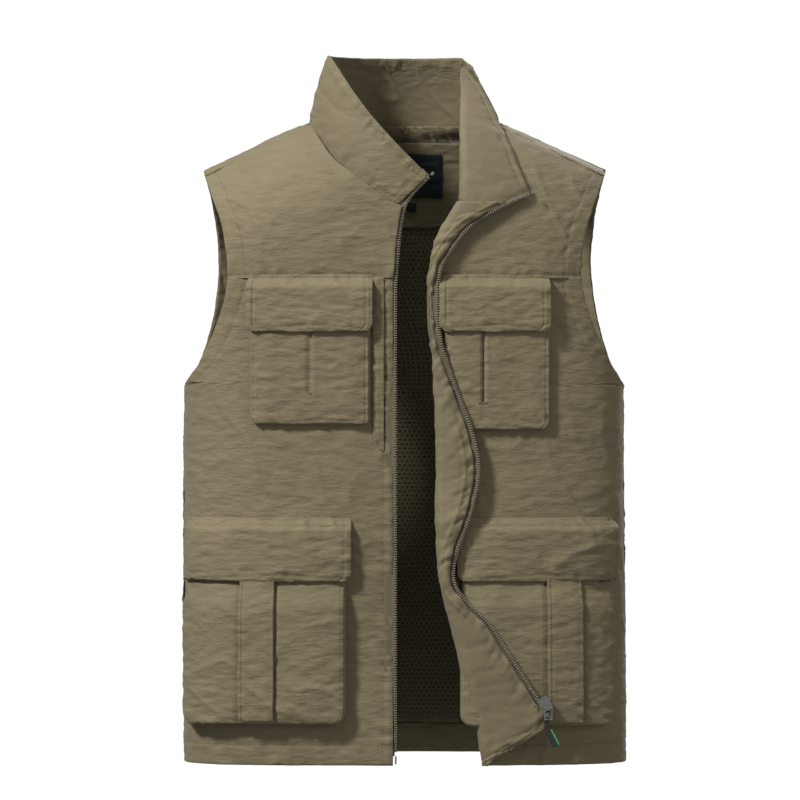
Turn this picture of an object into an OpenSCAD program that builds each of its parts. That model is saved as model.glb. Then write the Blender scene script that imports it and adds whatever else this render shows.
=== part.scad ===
// Fishing vest, size L, held up by the shoulders of its wearer.
// +Z is up, the front faces -Y, +X is the wearer's left. Lengths are in millimetres.
// The origin is at the height where the neck meets the shoulder seams, on the vest's middle.

/* [Body] */
// Half of the front's width, at the chest and at the hem
half_w = 242; // [230:1:260]
// Half of the vest's depth from front to back
half_d = 100; // [90:1:110]
// Length from the top of the shoulder to the hem
body_len = 700; // [690:1:720]
// Thickness of one layer of shell cloth
cloth_t = 1.6; // [1.2:0.1:1.8]
// Height of the yoke seam below the top of the shoulder
yoke_z = 172; // [168:1:176]
// Height of the turned hem
hem_h = 22; // [16:1:28]

/* [Collar] */
// Height of the stand collar at the back of the neck
collar_h = 67; // [60:1:68]
// Half of the neck's width, between the tops of the shoulder seams
neck_half_w = 105; // [104:1:107]

/* [Pockets] */
// Height of a chest pocket's flap
chest_flap_h = 57; // [50:1:58]
// Height of a lower pocket's flap
lower_flap_h = 64; // [56:1:65]
// Depth of a chest pocket
chest_depth = 6.6; // [6.2:0.1:6.8]
// Depth of a lower pocket's bellows
lower_depth = 16; // [12:1:16]
// Thickness of a flap
flap_t = 1.8; // [1.4:0.1:1.8]
// Thickness of one half of a hook and loop fastener
tape_t = 0.8; // [0.6:0.1:0.8]

/* [Zipper] */
// Distance from one tooth to the next
tooth_pitch = 5; // [4:0.5:8]
// Width of the row of teeth
tooth_w = 3; // [2.6:0.1:3.2]
// Thickness of the row of teeth
tooth_t = 2.2; // [2:0.1:2.4]

/* [Hidden] */

khaki = "#a69c78";
khaki_dark = "#7d7454";
mesh_olive = "#4a4430";
label_dark = "#18242a";
metal = "#8c8c88";
big = 900;
gap = 0.4;
side_x = half_w - half_d;
shoulder_rise = 53;
shoulder_run = 115;
slope = atan(shoulder_rise / shoulder_run);
arch_h = 105;
lean = 0.2;
neck_d = 180;
face_y = -half_d - 0.3;
low_z = -body_len;

// The layers of the shell, as depths below its outer surface
shell = [0, cloth_t];
inner = [2, 3];
facing = [3.4, 4.6];
lapel_under = [-9.5, -8];
lapel_top = [-11.3, -9.8];
// The turned-out collar ends above this height, and the front facing starts below it
lapel_low = -110;

// The armholes' edges on the wearer's right, from the shoulder down, as [x, z]
arm_front = [[-222, -52], [-210, -84], [-200, -112], [-194, -142], [-192, -172]];
arm_lower = [[-192, -172], [-197, -200], [-210, -235], [-228, -268], [-243, -287]];
arm_back = [[-222, -52], [-213, -100], [-209, -153], [-215, -210], [-229, -262], [-243, -287]];

// The zipper's line on the wearer's right, from the collar's point down to the yoke seam
zip_right_top = [[27, -62], [11, -78], [0, -94], [-5, -116], [-8, -146], [-10, -171]];
// The folded edge and the zipper's line on the wearer's left, where the front is turned out
fold_top = [[60, -89], [49, -105], [35, -132], [28, -164], [27, -171]];
zip_left_top = [[136, -81], [103, -96], [71, -116], [49, -143], [38, -164], [36, -171]];
fold_low = [[27, -173], [25, -197], [30, -262], [34, -316], [36, -380], [35, -413], [36, -462],
            [42, -510], [55, -564], [65, -607], [76, -651], [85, -700]];
zip_left_low = [[36, -173], [35, -197], [38, -240], [55, -294], [71, -337], [79, -380],
                [71, -424], [56, -467], [52, -499], [65, -521], [92, -548]];
zip_end = [152, -642];

// A smooth curve through a list of points, in n steps from each point to the next
function blend_of(p, q, r, s, t) = 0.5 * (2 * q + (r - p) * t + (2 * p - 5 * q + 4 * r - s) * t * t
    + (3 * q - 3 * r + s - p) * t * t * t);
function smooth(pts, n) = concat([for (i = [0 : len(pts) - 2], k = [0 : n - 1])
    blend_of(pts[max(i - 1, 0)], pts[i], pts[i + 1], pts[min(i + 2, len(pts) - 1)], k / n)],
    [pts[len(pts) - 1]]);
function backwards(pts) = [for (i = [len(pts) - 1 : -1 : 0]) pts[i]];
function moved(pts, dx, dz) = [for (p = pts) [p[0] + dx, p[1] + dz]];
function flipped(pts) = [for (p = pts) [-p[0], p[1]]];

// The unit direction at point i of a path, and the path moved d to the left of its direction
function way(pts, i) = let(v = pts[min(i + 1, len(pts) - 1)] - pts[max(i - 1, 0)]) v / norm(v);
function beside(pts, d) = [for (i = [0 : len(pts) - 1]) pts[i] + d * [-way(pts, i)[1], way(pts, i)[0]]];
function strip_of(pts, d1, d2) = concat(beside(pts, d1), backwards(beside(pts, d2)));

// The length of a path and its point at the distance s from its start
function path_len(pts, i = 0) = i >= len(pts) - 1 ? 0 : norm(pts[i + 1] - pts[i]) + path_len(pts, i + 1);
function at(pts, s, i = 0) = let(d = norm(pts[i + 1] - pts[i]))
    (s <= d || i >= len(pts) - 2) ? [pts[i] + (pts[i + 1] - pts[i]) * s / d, (pts[i + 1] - pts[i]) / d]
    : at(pts, s - d, i + 1);

// The outline of a row of teeth along a path, with the teeth on its left side
function teeth_edge(pts, n, pitch) = [for (k = [0 : n - 1], j = [0 : 3])
    let(s = (k + [0.06, 0.06, 0.56, 0.56][j]) * pitch, a = at(pts, s), d = [0.3, 1, 1, 0.3][j] * tooth_w)
    a[0] + d * [-a[1][1], a[1][0]]];
function comb(pts) = let(n = floor(path_len(pts) / tooth_pitch))
    concat(teeth_edge(pts, n, path_len(pts) / n), backwards(beside(pts, -0.8)));

// A quarter turn of a rounded corner, and a rectangle with its lower corners rounded by r0 and r1
function corner(cx, cz, r, a0) = [for (k = [0 : 4])
    let(a = a0 + k * 22.5) [cx + r * cos(a), cz + r * sin(a)]];
function patch(x0, x1, top, bottom, r0, r1) = concat([[x0, top]], corner(x0 + r0, bottom + r0, r0, 180),
    corner(x1 - r1, bottom + r1, r1, 270), [[x1, top]]);

function box_of(x0, x1, z0, z1) = [[x0, z0], [x1, z0], [x1, z1], [x0, z1]];

// Extrudes an [x, z] outline from y0 to y1
module sheet(pts, y0, y1) {
  translate([0, y1, 0]) rotate([90, 0, 0]) linear_extrude(height = y1 - y0) polygon(pts);
}

// Extrudes a [y, z] outline from x0 to x1
module profile(pts, x0, x1) {
  translate([x0, 0, 0]) rotate([90, 0, 90]) linear_extrude(height = x1 - x0) polygon(pts);
}

// The solid inside the shell at the depth d: a stadium in plan under a sloping arch on each side
function arch(d) = concat([[-half_d + d, -big]], [for (k = [0 : 18]) let(a = 180 - 10 * k)
    [(half_d - d) * cos(a), -arch_h + (arch_h - d) * sin(a)]], [[half_d - d, -big]]);
module roof(d, turn) {
  translate([turn * neck_half_w, 0, 0]) rotate([0, turn * slope, 0])
    profile(arch(d), -big, big);
}
module inside(d) {
  intersection() {
    union() {
      for (s = [-1, 1]) translate([s * side_x, 0, -big]) cylinder(r = half_d - d, h = 2 * big, $fn = 96);
      translate([-side_x, -half_d + d, -big]) cube([2 * side_x, 2 * (half_d - d), 2 * big]);
    }
    roof(d, -1);
    roof(d, 1);
  }
}

// The part of the shell between two depths that lies behind an [x, z] outline, from y0 to y1
module shell_piece(layer, pts, y0, y1) {
  intersection() {
    difference() {
      inside(layer[0]);
      inside(layer[1]);
    }
    sheet(pts, y0, y1);
  }
}
module front_piece(layer, pts) {
  shell_piece(layer, pts, -2 * half_d, -0.2);
}
module back_piece(layer, pts) {
  shell_piece(layer, pts, 0.2, 2 * half_d);
}

// ---- Back and shoulders ----
module back_panel() {
  outline = concat([[-neck_half_w, 0.5]], arm_back, [[-half_w - 2, low_z], [half_w + 2, low_z]],
    backwards(flipped(arm_back)), [[neck_half_w, 0.5], [70, -1], [-70, -1]]);
  color(khaki) back_piece(shell, outline);
}

module front_yoke_right() {
  outline = concat([[-neck_half_w - 4, -2]], arm_front, [[-192, -yoke_z + gap]],
    [[-19, -yoke_z + gap]], [[-17, -146], [-15, -116], [-13, -96], [-27, -86], [-59, -61], [-81, -42]]);
  color(khaki) front_piece(shell, outline);
}

module front_yoke_left() {
  outline = concat([[neck_half_w, -0.5]], flipped(arm_front), [[192, -yoke_z + gap]],
    [[31, -yoke_z + gap]], [[32, -164], [39, -132], [53, -105], [61, -92], [70, -62], [84, -40]]);
  color(khaki) front_piece(shell, outline);
}

module armhole_facing(turn) {
  back_band = concat(arm_back, backwards(moved(arm_back, 20, -8)));
  front_band = concat(arm_front, backwards(moved(arm_front, 20, 0)));
  mirror([turn > 0 ? 1 : 0, 0, 0]) union() {
    shell_piece(inner, back_band, 0, 2 * half_d);
    intersection() {
      shell_piece(inner, front_band, -2 * half_d, 0);
      translate([-big, -big, -yoke_z + 1]) cube(2 * big);
    }
  }
}
module armhole_facing_right() {
  color(khaki_dark) armhole_facing(-1);
}
module armhole_facing_left() {
  color(khaki_dark) armhole_facing(1);
}

module neck_facing() {
  curved_edge = [for (k = [0 : 8]) [-92 + 23 * k, -111 + 26 * pow((k - 4) / 4, 2)]];
  outline = concat([[-92, -17]], curved_edge, [[92, -17]]);
  color(khaki_dark) back_piece(inner, outline);
}

module neck_band() {
  color(khaki) back_piece([2, 4.2], [[-92, -2], [-92, -15.5], [92, -15.5], [92, -2]]);
}

module neck_label() {
  color(label_dark) back_piece([3.2, 4], [[-27, -26], [-27, -78], [43, -78], [43, -26]]);
}

module size_tab() {
  color(label_dark) back_piece([3.2, 4], [[3, -84], [3, -94], [13, -94], [13, -84]]);
}

module mesh_lining_back() {
  side = moved(arm_back, 23, -10);
  outline = concat([for (p = side) if (p[1] < -122) p], [[-half_w + 3, -300], [-half_w + 3, -668],
    [half_w - 3, -668], [half_w - 3, -300]], [for (p = backwards(flipped(side))) if (p[1] < -122) p],
    [[188, -121], [-188, -121]]);
  color(mesh_olive) back_piece(inner, outline);
}

module back_hem_facing() {
  color(khaki) back_piece(inner, [[-half_w + 3, -669], [-half_w + 3, low_z + 1], [half_w - 3, low_z + 1],
    [half_w - 3, -669]]);
}

// ---- Collar ----
// A ring that leans in towards its top, round the neck, between two depths
module neck_cone(d) {
  low = -95;
  high = 75;
  s_low = 1 - lean * low / collar_h;
  s_high = 1 - lean * high / collar_h;
  ring = [for (k = [0 : 47]) [(neck_half_w * s_low - d) * cos(7.5 * k),
    neck_d / 2 * s_low + (neck_d / 2 * s_low - d) * sin(7.5 * k)]];
  translate([0, -half_d, low]) linear_extrude(height = high - low, scale = s_high / s_low) polygon(ring);
}

module collar_ring(layer) {
  front_half = [[-108, 1], [-99, 34], [-84, 66], [-64, 36], [-32, -2], [-5, -32], [19, -56], [4, -71],
    [-8, -92], [-26, -82], [-59, -57], [-80, -38]];
  back_half = [[-108, 1], [-99, 34], [-84, collar_h], [63, collar_h], [76, 54], [92, 25], [106, 1]];
  intersection() {
    difference() {
      neck_cone(layer[0]);
      neck_cone(layer[1]);
    }
    union() {
      sheet(front_half, -2 * half_d, -10);
      sheet(back_half, -10, 2 * half_d);
    }
  }
}

module collar(layer, turned) {
  lapel = [[61, 31], [60, -78], [60, -88], [70, -108], [99, -92], [128, -75], [124, -64], [100, 0],
    [90, 22], [80, 30]];
  difference() {
    collar_ring(layer);
    translate([0, -big, -big]) cube([big, big, 2 * big]);
  }
  front_piece(turned, lapel);
}
module collar_outer() {
  color(khaki) collar([0, 1.4], lapel_under);
}
module collar_lining() {
  color(khaki_dark) collar([1.8, 3.2], lapel_top);
}

// ---- Zipper ----
// The turned-out left front stands proud of its pockets: a slab from the depth a to the depth b behind it
function slab(a, b) = [[-112 + a, -yoke_z - 0.5], [-112 + a, -400], [-119.6 + a, -436], [-119.6 + a, -big],
    [-119.6 + b, -big], [-119.6 + b, -436], [-112 + b, -400], [-112 + b, -yoke_z - 0.5]];
zip_low_path = concat(smooth(zip_left_low, 3), [zip_end]);
zip_top_path = smooth(zip_left_top, 3);
fold_low_path = smooth(fold_low, 3);
fold_top_path = smooth(fold_top, 3);
zip_right_path = smooth(zip_right_top, 3);
right_line = [[-11, -yoke_z - 0.8], [-11, low_z + 10]];

module proud_piece(a, b, pts) {
  intersection() {
    profile(slab(a, b), -big, big);
    sheet(pts, -2 * half_d, 0);
  }
}

module zip_tape_right_upper() {
  color(khaki_dark) front_piece([0.4, 1.4], strip_of(zip_right_path, -1.2, -6.2));
}
module zip_teeth_right_upper() {
  color(metal) front_piece([0, tooth_t], comb(zip_right_path));
}
module zip_tape_left_upper() {
  color(khaki_dark) front_piece([-10.8, -9.8], strip_of(zip_top_path, -1.2, -4.8));
}
module zip_teeth_left_upper() {
  color(metal) front_piece([-11.4, -11.4 + tooth_t], comb(zip_top_path));
}
module front_facing_left_upper() {
  outline = concat(fold_top_path, backwards(beside(zip_top_path, -5.2)));
  color(khaki_dark) front_piece(lapel_top, [for (p = outline) if (p[1] < lapel_low) p]);
}
module zip_top_stops() {
  color(metal) union() {
    front_piece([0, tooth_t], [[29.5, -62.5], [32.5, -59.5], [30.5, -57.5], [27.5, -60.5]]);
    front_piece([-11.4, -11.4 + tooth_t], [[137, -82.5], [140, -81], [139, -78], [136, -79.5]]);
  }
}

module zip_tape_right() {
  color(khaki_dark) front_piece([2, 2.8], [[-26, -yoke_z - 0.5], [-26, low_z + 3], [-12.2, low_z + 3],
    [-12.2, -yoke_z - 0.5]]);
}
module zip_teeth_right() {
  color(metal) front_piece([0.8, 0.8 + tooth_t], comb(right_line));
}
module zip_insertion_pin() {
  color(metal) translate([-9.6, -half_d + 2, low_z + 3]) union() {
    translate([-0.9, -1.1, 0]) cube([1.8, 2.2, 6.6]);
    translate([-0.9, -0.9, -2]) cube([1.8, 1.8, 2.4]);
  }
}

module zip_tape_left() {
  color(khaki_dark) proud_piece(0.2, 1, strip_of(zip_low_path, -1.2, -6.4));
}
module zip_teeth_left() {
  color(metal) proud_piece(-0.4, -0.4 + tooth_t, comb(zip_low_path));
}
module zip_retainer_box() {
  color(metal) translate([zip_end[0], -119.3, zip_end[1]]) rotate([0, slide_turn, 0])
    translate([-2.6, -1.6, -8]) cube([5.2, 3.2, 7.6]);
}

// ---- Fronts ----
module hem_fold(x0, x1) {
  front_piece([cloth_t, cloth_t + 0.3], [[x0, low_z + hem_h], [x0, low_z], [x1, low_z], [x1, low_z + hem_h]]);
}

// The topstitched fold along the top of a flap, standing proud of the panel, up to the yoke seam at most
module flap_ledge(x0, x1, top) {
  front_piece([-flap_in, 0.2], box_of(x0, x1, top - 1.4, min(top + 5.6, -yoke_z - gap)));
}

module front_panel_right() {
  outline = concat(arm_lower, [[-half_w - 2, low_z], [-22.4, low_z], [-22.4, -yoke_z - gap],
    [-192, -yoke_z - gap]]);
  color(khaki) union() {
    front_piece(shell, outline);
    hem_fold(-half_w - 2, -22.4);
    flap_ledge(chest_x[0], chest_x[1], chest_top);
    flap_ledge(lower_x[0], lower_x[1], lower_top);
  }
}

module placket_right() {
  color(khaki) front_piece(shell, box_of(-22, -13.4, low_z, -yoke_z - gap));
}

module front_facing_right() {
  color(khaki_dark) front_piece(facing, box_of(-80, -13, low_z + 2, -yoke_z - 2));
}

module front_lining(fold_x) {
  outline = concat(moved(arm_lower, 3, -3), [[-half_w + 3, low_z + hem_h + 2], [-fold_x, low_z + hem_h + 2],
    [-fold_x, -yoke_z - 4], [-187, -yoke_z - 4]]);
  front_piece(inner, outline);
}
module front_lining_right() {
  color(mesh_olive) front_lining(82);
}
module front_lining_left() {
  color(mesh_olive) mirror([1, 0, 0]) front_lining(100);
}

module hidden_pocket_welt() {
  outline = [[-35, -173], [-35, -332], [-29, -350], [-22.6, -360], [-22.6, -173]];
  color(khaki) sheet(outline, face_y - 1.2, face_y);
}
module hidden_pocket_bag() {
  color(khaki_dark) front_piece([5, 6.2], patch(-160, -30, -190, -350, 14, 14));
}

module front_panel_left() {
  side = flipped(arm_lower);
  outline = concat([[192, -yoke_z - gap]], side, [[half_w + 2, low_z]],
    backwards(moved(fold_low_path, 1.4, 0)));
  color(khaki) union() {
    front_piece(shell, outline);
    hem_fold(90, half_w + 2);
    intersection() {
      sheet(strip_of(fold_low_path, 0.4, 2.6), -110.4, -half_d + 0.8);
      translate([-big, -big, low_z + 3]) cube([2 * big, 2 * big, -low_z - yoke_z - 6]);
    }
    flap_ledge(-chest_x[1] + 10, -chest_x[0] - 12, chest_top);
    flap_ledge(-lower_x[1] + 16, -lower_x[0] - 11, lower_top);
  }
}

module front_facing_left() {
  outline = concat(fold_low_path, [[88, -698], [148, -660]], backwards(beside(zip_low_path, -6.8)));
  color(khaki_dark) proud_piece(0, 1.4, outline);
}

// ---- Pockets ----
chest_x = [-169, -35];
chest_top = -174;
chest_bottom = -332;
lower_x = [-237, -58];
lower_top = -437;
lower_bottom = -656;
mouth_z = -507;
fold_start = 46;
wall = 1.3;
flap_in = chest_depth + 2 * tape_t + gap;

// A tray that follows the shell, open at its top and closed behind by the panel
module tray(x0, x1, top, bottom, depth, r0, r1) {
  difference() {
    front_piece([-depth, -0.3], patch(x0, x1, top, bottom, r0, r1));
    front_piece([-depth + wall, 0.2], patch(x0 + wall, x1 - wall, top + 1, bottom + wall, r0 - 1, r1 - 1));
  }
}

// A bellows pocket: flat at its mouth and deeper below
module bellows_pocket(x0, x1, top, bottom, r0, r1) {
  difference() {
    union() {
      front_piece([-chest_depth, -0.3], box_of(x0, x1, mouth_z - 1, top));
      front_piece([-lower_depth, -0.3], patch(x0, x1, mouth_z, bottom, r0, r1));
    }
    front_piece([-chest_depth + wall, 0.2], box_of(x0 + wall, x1 - wall, mouth_z - 3, top + 1));
    front_piece([-lower_depth + wall, 0.2],
      patch(x0 + wall, x1 - wall, mouth_z - wall, bottom + wall, r0 - 1, r1 - 1));
  }
}

// The flat strap that is stitched down a bellows pocket's middle
module pocket_strap(x0, x1) {
  color(khaki) front_piece([-lower_depth - 0.8, -lower_depth - 0.02],
    box_of(x0, x1, lower_bottom + 10, mouth_z - 2));
}

tape_len = 90;
tape_h = 16;
module loop_tape(x, z) {
  color(khaki_dark) front_piece([-chest_depth - tape_t, -chest_depth - 0.02],
    box_of(x - tape_len / 2, x + tape_len / 2, z, z + tape_h));
}
module hook_tape(x, z) {
  color(khaki_dark) front_piece([-flap_in, -flap_in + tape_t],
    box_of(x - tape_len / 2, x + tape_len / 2, z, z + tape_h));
}
module flap(x0, x1, top, h, r0, r1) {
  color(khaki) front_piece([-flap_in - flap_t, -flap_in - 0.02], patch(x0, x1, top - 1.8, top - h, r0, r1));
}

// Short rows of dense stitching at the ends of the pleats and the pockets' corners
module bar_tack(x, z, w, h) {
  front_piece([-chest_depth - 0.6, -chest_depth - 0.02], box_of(x - w / 2, x + w / 2, z, z + h));
}

module chest_pocket_right() {
  color(khaki) tray(-167, -37, chest_top - 6, chest_bottom, chest_depth, 12, 4);
}
module chest_loop_tape_right() {
  loop_tape(-102, -222);
}
module lower_pocket_right() {
  color(khaki) bellows_pocket(-235, -63, lower_top - 3, lower_bottom, 14, 14);
}
module lower_strap_right() {
  pocket_strap(-175, -140);
}
module lower_loop_tape_right() {
  loop_tape(-148, -488);
}
module bar_tacks_right() {
  color(khaki_dark) union() {
    bar_tack(-102, -299, 8, 1.6);
    bar_tack(-228, -470, 5, 1.6);
    bar_tack(-71, -470, 5, 1.6);
  }
}
module chest_flap_right() {
  flap(chest_x[0], chest_x[1], chest_top, chest_flap_h, 9, 9);
}
module chest_hook_tape_right() {
  hook_tape(-102, -222);
}
module lower_flap_right() {
  flap(lower_x[0], lower_x[1], lower_top, lower_flap_h, 4, 10);
}
module lower_hook_tape_right() {
  hook_tape(-148, -488);
}

module chest_pocket_left() {
  color(khaki) tray(fold_start - 4, 157, chest_top - 6, chest_bottom - 6, chest_depth, 4, 12);
}
module chest_loop_tape_left() {
  loop_tape(104, -222);
}
module lower_pocket_left() {
  color(khaki) bellows_pocket(95, 223, lower_top - 3, lower_bottom - 2, 6, 14);
}
module lower_strap_left() {
  pocket_strap(153, 188);
}
module lower_loop_tape_left() {
  loop_tape(160, -488);
}
module bar_tacks_left() {
  color(khaki_dark) union() {
    bar_tack(88, -309, 8, 1.6);
    bar_tack(215, -470, 5, 1.6);
  }
}
module chest_flap_left() {
  flap(fold_start, 156, chest_top, chest_flap_h, 9, 9);
}
module chest_hook_tape_left() {
  hook_tape(104, -222);
}
module lower_flap_left() {
  flap(82, 226, lower_top, lower_flap_h, 10, 4);
}
module lower_hook_tape_left() {
  hook_tape(160, -488);
}

// ---- Slider and its pull ----
slide_dir = [92 - zip_end[0], -548 - zip_end[1]];
slide_turn = atan2(slide_dir[0], slide_dir[1]);
slider_y = -119.6 + 0.7;
bail_y = slider_y - 5.2;
pull_z = zip_end[1] + 5.5;
pull_x = zip_end[0] + 2.5;

module zip_slider() {
  color(metal) union() {
    translate([zip_end[0], slider_y, zip_end[1]]) rotate([0, slide_turn, 0]) union() {
      translate([-1.2, -2.9, 1]) cube([11.6, 1.2, 15]);
      translate([-1.2, 1.4, 1]) cube([11.6, 0.6, 15]);
      translate([5.2, -2, 11]) cube([3.4, 4, 5]);
    }
    difference() {
      translate([pull_x - 2.4, bail_y - 1.8, pull_z - 2]) cube([4.8, 4.2, 4]);
      translate([pull_x - 3, bail_y, pull_z]) rotate([0, 90, 0]) cylinder(d = 2, h = 6, $fn = 32);
    }
  }
}

module pull_link() {
  color(metal) translate([pull_x, bail_y, pull_z]) union() {
    translate([-4.6, 0, 0]) rotate([0, 90, 0]) cylinder(d = 1.4, h = 9.2, $fn = 24);
    for (x = [-4.6, 3.2]) translate([x, -0.7, -12.4]) cube([1.4, 1.4, 12.7]);
    translate([-4.6, 0, -12.4]) rotate([0, 90, 0]) cylinder(d = 1.6, h = 9.2, $fn = 24);
  }
}

cord_z = pull_z - 12.4;
module pull_cord() {
  color(label_dark) translate([pull_x, bail_y, cord_z]) union() {
    rotate([0, 90, 0]) rotate_extrude($fn = 48) translate([2.1, 0]) circle(d = 1.6, $fn = 20);
    translate([0, 0, -10.4]) cylinder(d = 1.6, h = 8.8, $fn = 20);
  }
}

grip_turn = -27;
module pull_grip() {
  color(label_dark) translate([pull_x, bail_y, cord_z - 11]) rotate([0, grip_turn, 0])
    translate([0, 1.6, -20]) rotate([90, 0, 0]) linear_extrude(height = 3.2)
    polygon([[-3, 20], [-4.5, 16], [-4.5, 1.5], [-3, 0], [2.2, 0], [2.2, 20]]);
}
module grip_stripe() {
  color("#5a9650") translate([pull_x, bail_y, cord_z - 11]) rotate([0, grip_turn, 0])
    translate([2.25, -1.4, -19]) cube([1.5, 2.8, 18]);
}

back_panel();
front_yoke_right();
front_yoke_left();
collar_outer();
collar_lining();
armhole_facing_right();
armhole_facing_left();
neck_facing();
neck_band();
neck_label();
size_tab();
mesh_lining_back();
back_hem_facing();
front_facing_left_upper();
zip_tape_right_upper();
zip_teeth_right_upper();
zip_tape_left_upper();
zip_teeth_left_upper();
zip_top_stops();
front_panel_right();
front_lining_right();
front_facing_right();
placket_right();
zip_tape_right();
zip_teeth_right();
zip_insertion_pin();
hidden_pocket_welt();
hidden_pocket_bag();
chest_pocket_right();
chest_loop_tape_right();
lower_pocket_right();
lower_strap_right();
lower_loop_tape_right();
bar_tacks_right();
chest_flap_right();
chest_hook_tape_right();
lower_flap_right();
lower_hook_tape_right();
front_panel_left();
front_lining_left();
front_facing_left();
zip_tape_left();
zip_teeth_left();
zip_retainer_box();
chest_pocket_left();
chest_loop_tape_left();
lower_pocket_left();
lower_strap_left();
lower_loop_tape_left();
bar_tacks_left();
chest_flap_left();
chest_hook_tape_left();
lower_flap_left();
lower_hook_tape_left();
zip_slider();
pull_link();
pull_cord();
pull_grip();
grip_stripe();
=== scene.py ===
"""A fishing vest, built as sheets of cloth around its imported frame. Outlines are in millimetres."""
import math

import bpy
import numpy as np
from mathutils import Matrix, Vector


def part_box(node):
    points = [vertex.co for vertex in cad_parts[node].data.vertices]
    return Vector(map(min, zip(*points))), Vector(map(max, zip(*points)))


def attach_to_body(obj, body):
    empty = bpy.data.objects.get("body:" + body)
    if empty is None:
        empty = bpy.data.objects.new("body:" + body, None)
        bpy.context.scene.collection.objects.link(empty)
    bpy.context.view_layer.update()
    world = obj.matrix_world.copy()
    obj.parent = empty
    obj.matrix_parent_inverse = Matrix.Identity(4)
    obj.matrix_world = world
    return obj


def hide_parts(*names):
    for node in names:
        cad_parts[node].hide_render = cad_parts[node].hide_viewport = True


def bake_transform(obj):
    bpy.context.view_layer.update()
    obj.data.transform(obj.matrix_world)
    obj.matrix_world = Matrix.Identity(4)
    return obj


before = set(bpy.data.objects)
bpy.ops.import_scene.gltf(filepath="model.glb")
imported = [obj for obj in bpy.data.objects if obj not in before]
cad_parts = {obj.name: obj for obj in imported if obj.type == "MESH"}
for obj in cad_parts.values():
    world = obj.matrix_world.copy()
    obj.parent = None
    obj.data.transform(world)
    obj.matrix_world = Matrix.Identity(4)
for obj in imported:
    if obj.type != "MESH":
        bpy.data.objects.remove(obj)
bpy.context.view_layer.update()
MM = 0.001


# ---- The frame's own sizes, in millimetres ----
def node_box(node):
    """A node's lowest and highest corners in millimetres."""
    low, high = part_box(node)
    return np.array(low) / MM, np.array(high) / MM


BACK_LOW, BACK_HIGH = node_box("back_panel")
HALF_W = BACK_HIGH[0]
HALF_D = 100.0
HEM_Z = BACK_LOW[2]
YOKE_Z = node_box("front_panel_right")[1][2]
NECK_X = 105.0
SHOULDER = np.array([222.0, -52.0])
SLOPE = math.atan(53 / 115)
ARCH = 105.0
SIDE_POWER = 3.6
HEM_H = 22.0
# How deep all seams are sewn in and how strongly the cloth gathers beside them
GROOVE_GAIN = 1.7
PUCKER_GAIN = 2.2


# ---- Small maths ----
def ease(t):
    """A smooth step from 0 to 1."""
    t = np.clip(t, 0, 1)
    return t * t * (3 - 2 * t)


def lattice(i, j, seed):
    """A repeatable number from -1 to 1 at each whole-number place."""
    v = np.sin(i * 127.1 + j * 311.7 + seed * 74.7) * 43758.5453
    return 2 * (v - np.floor(v)) - 1


def noise(x, y, seed):
    """Smooth noise from -1 to 1."""
    i, j = np.floor(x), np.floor(y)
    fx, fy = x - i, y - j
    fx, fy = fx * fx * fx * (fx * (fx * 6 - 15) + 10), fy * fy * fy * (fy * (fy * 6 - 15) + 10)
    low = lattice(i, j, seed) * (1 - fx) + lattice(i + 1, j, seed) * fx
    high = lattice(i, j + 1, seed) * (1 - fx) + lattice(i + 1, j + 1, seed) * fx
    return low * (1 - fy) + high * fy


def smooth_path(points, steps=8):
    """A Catmull-Rom curve through given points."""
    p = np.array(points, float)
    ends = np.vstack([p[:1], p, p[-1:]])
    out = []
    for k in range(len(p) - 1):
        a, b, c, d = ends[k:k + 4]
        for t in np.linspace(0, 1, steps, endpoint=False):
            out.append(0.5 * (2 * b + (c - a) * t + (2 * a - 5 * b + 4 * c - d) * t ** 2
                              + (3 * b - 3 * c + d - a) * t ** 3))
    out.append(p[-1])
    return np.array(out)


def x_at(path, z):
    """Where a path that runs down the vest is at the height z."""
    order = np.argsort(path[:, 1])
    return np.interp(z, path[order, 1], path[order, 0])


# ---- The body's surface ----
_t = np.linspace(0, math.pi / 2, 3001)
_px = HALF_W * np.sin(_t) ** (2 / SIDE_POWER)
_py = HALF_D * np.cos(_t) ** (2 / SIDE_POWER)
_len = np.concatenate([[0], np.cumsum(np.hypot(np.diff(_px), np.diff(_py)))])


def girth_of(x):
    """The distance round the body from its middle line to where it is x across."""
    return np.sign(x) * np.interp(np.abs(x), _px, _len)


def arch(x, z):
    """How much of the body's depth is left at a height, on the way up to the shoulder."""
    ridge = -(np.abs(x) - NECK_X) * math.tan(SLOPE)
    h = np.clip((ridge - z) * math.cos(SLOPE), 0, ARCH)
    return np.sqrt(np.clip(1 - ((ARCH - h) / ARCH) ** 2, 0, 1))


def depth_at(x, z):
    """The body's half depth where it is x across."""
    return np.interp(np.abs(x), _px, _py) * arch(x, z)


def body_grid(zs, left, right, columns, side, bias=0.0):
    """A grid on the body's front (side -1) or back (side 1), one row for each height, from left to right."""
    zs = np.asarray(zs, float)
    share = np.linspace(0, 1, columns)
    share = share + bias * np.sin(2 * math.pi * share) / (2 * math.pi)
    a, b = (girth_of(np.broadcast_to(np.asarray(edge, float), zs.shape)) for edge in (left, right))
    girth = a[:, None] + (b - a)[:, None] * share[None, :]
    x = np.sign(girth) * np.interp(np.abs(girth), _len, _px)
    y = np.interp(np.abs(girth), _len, _py)
    z = np.repeat(zs[:, None], columns, 1)
    return np.stack([x, side * y * arch(x, z), z], -1)


# ---- Grids to meshes ----
def normals_of(grid, toward):
    """The unit normals of a grid, on the side that the vector toward points to."""
    n = np.cross(np.gradient(grid, axis=1), np.gradient(grid, axis=0))
    size = np.linalg.norm(n, axis=-1, keepdims=True)
    n = n / np.where(size < 1e-9, 1, size)
    if (n * np.asarray(toward, float)).sum(-1).mean() < 0:
        n = -n
    return n


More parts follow.
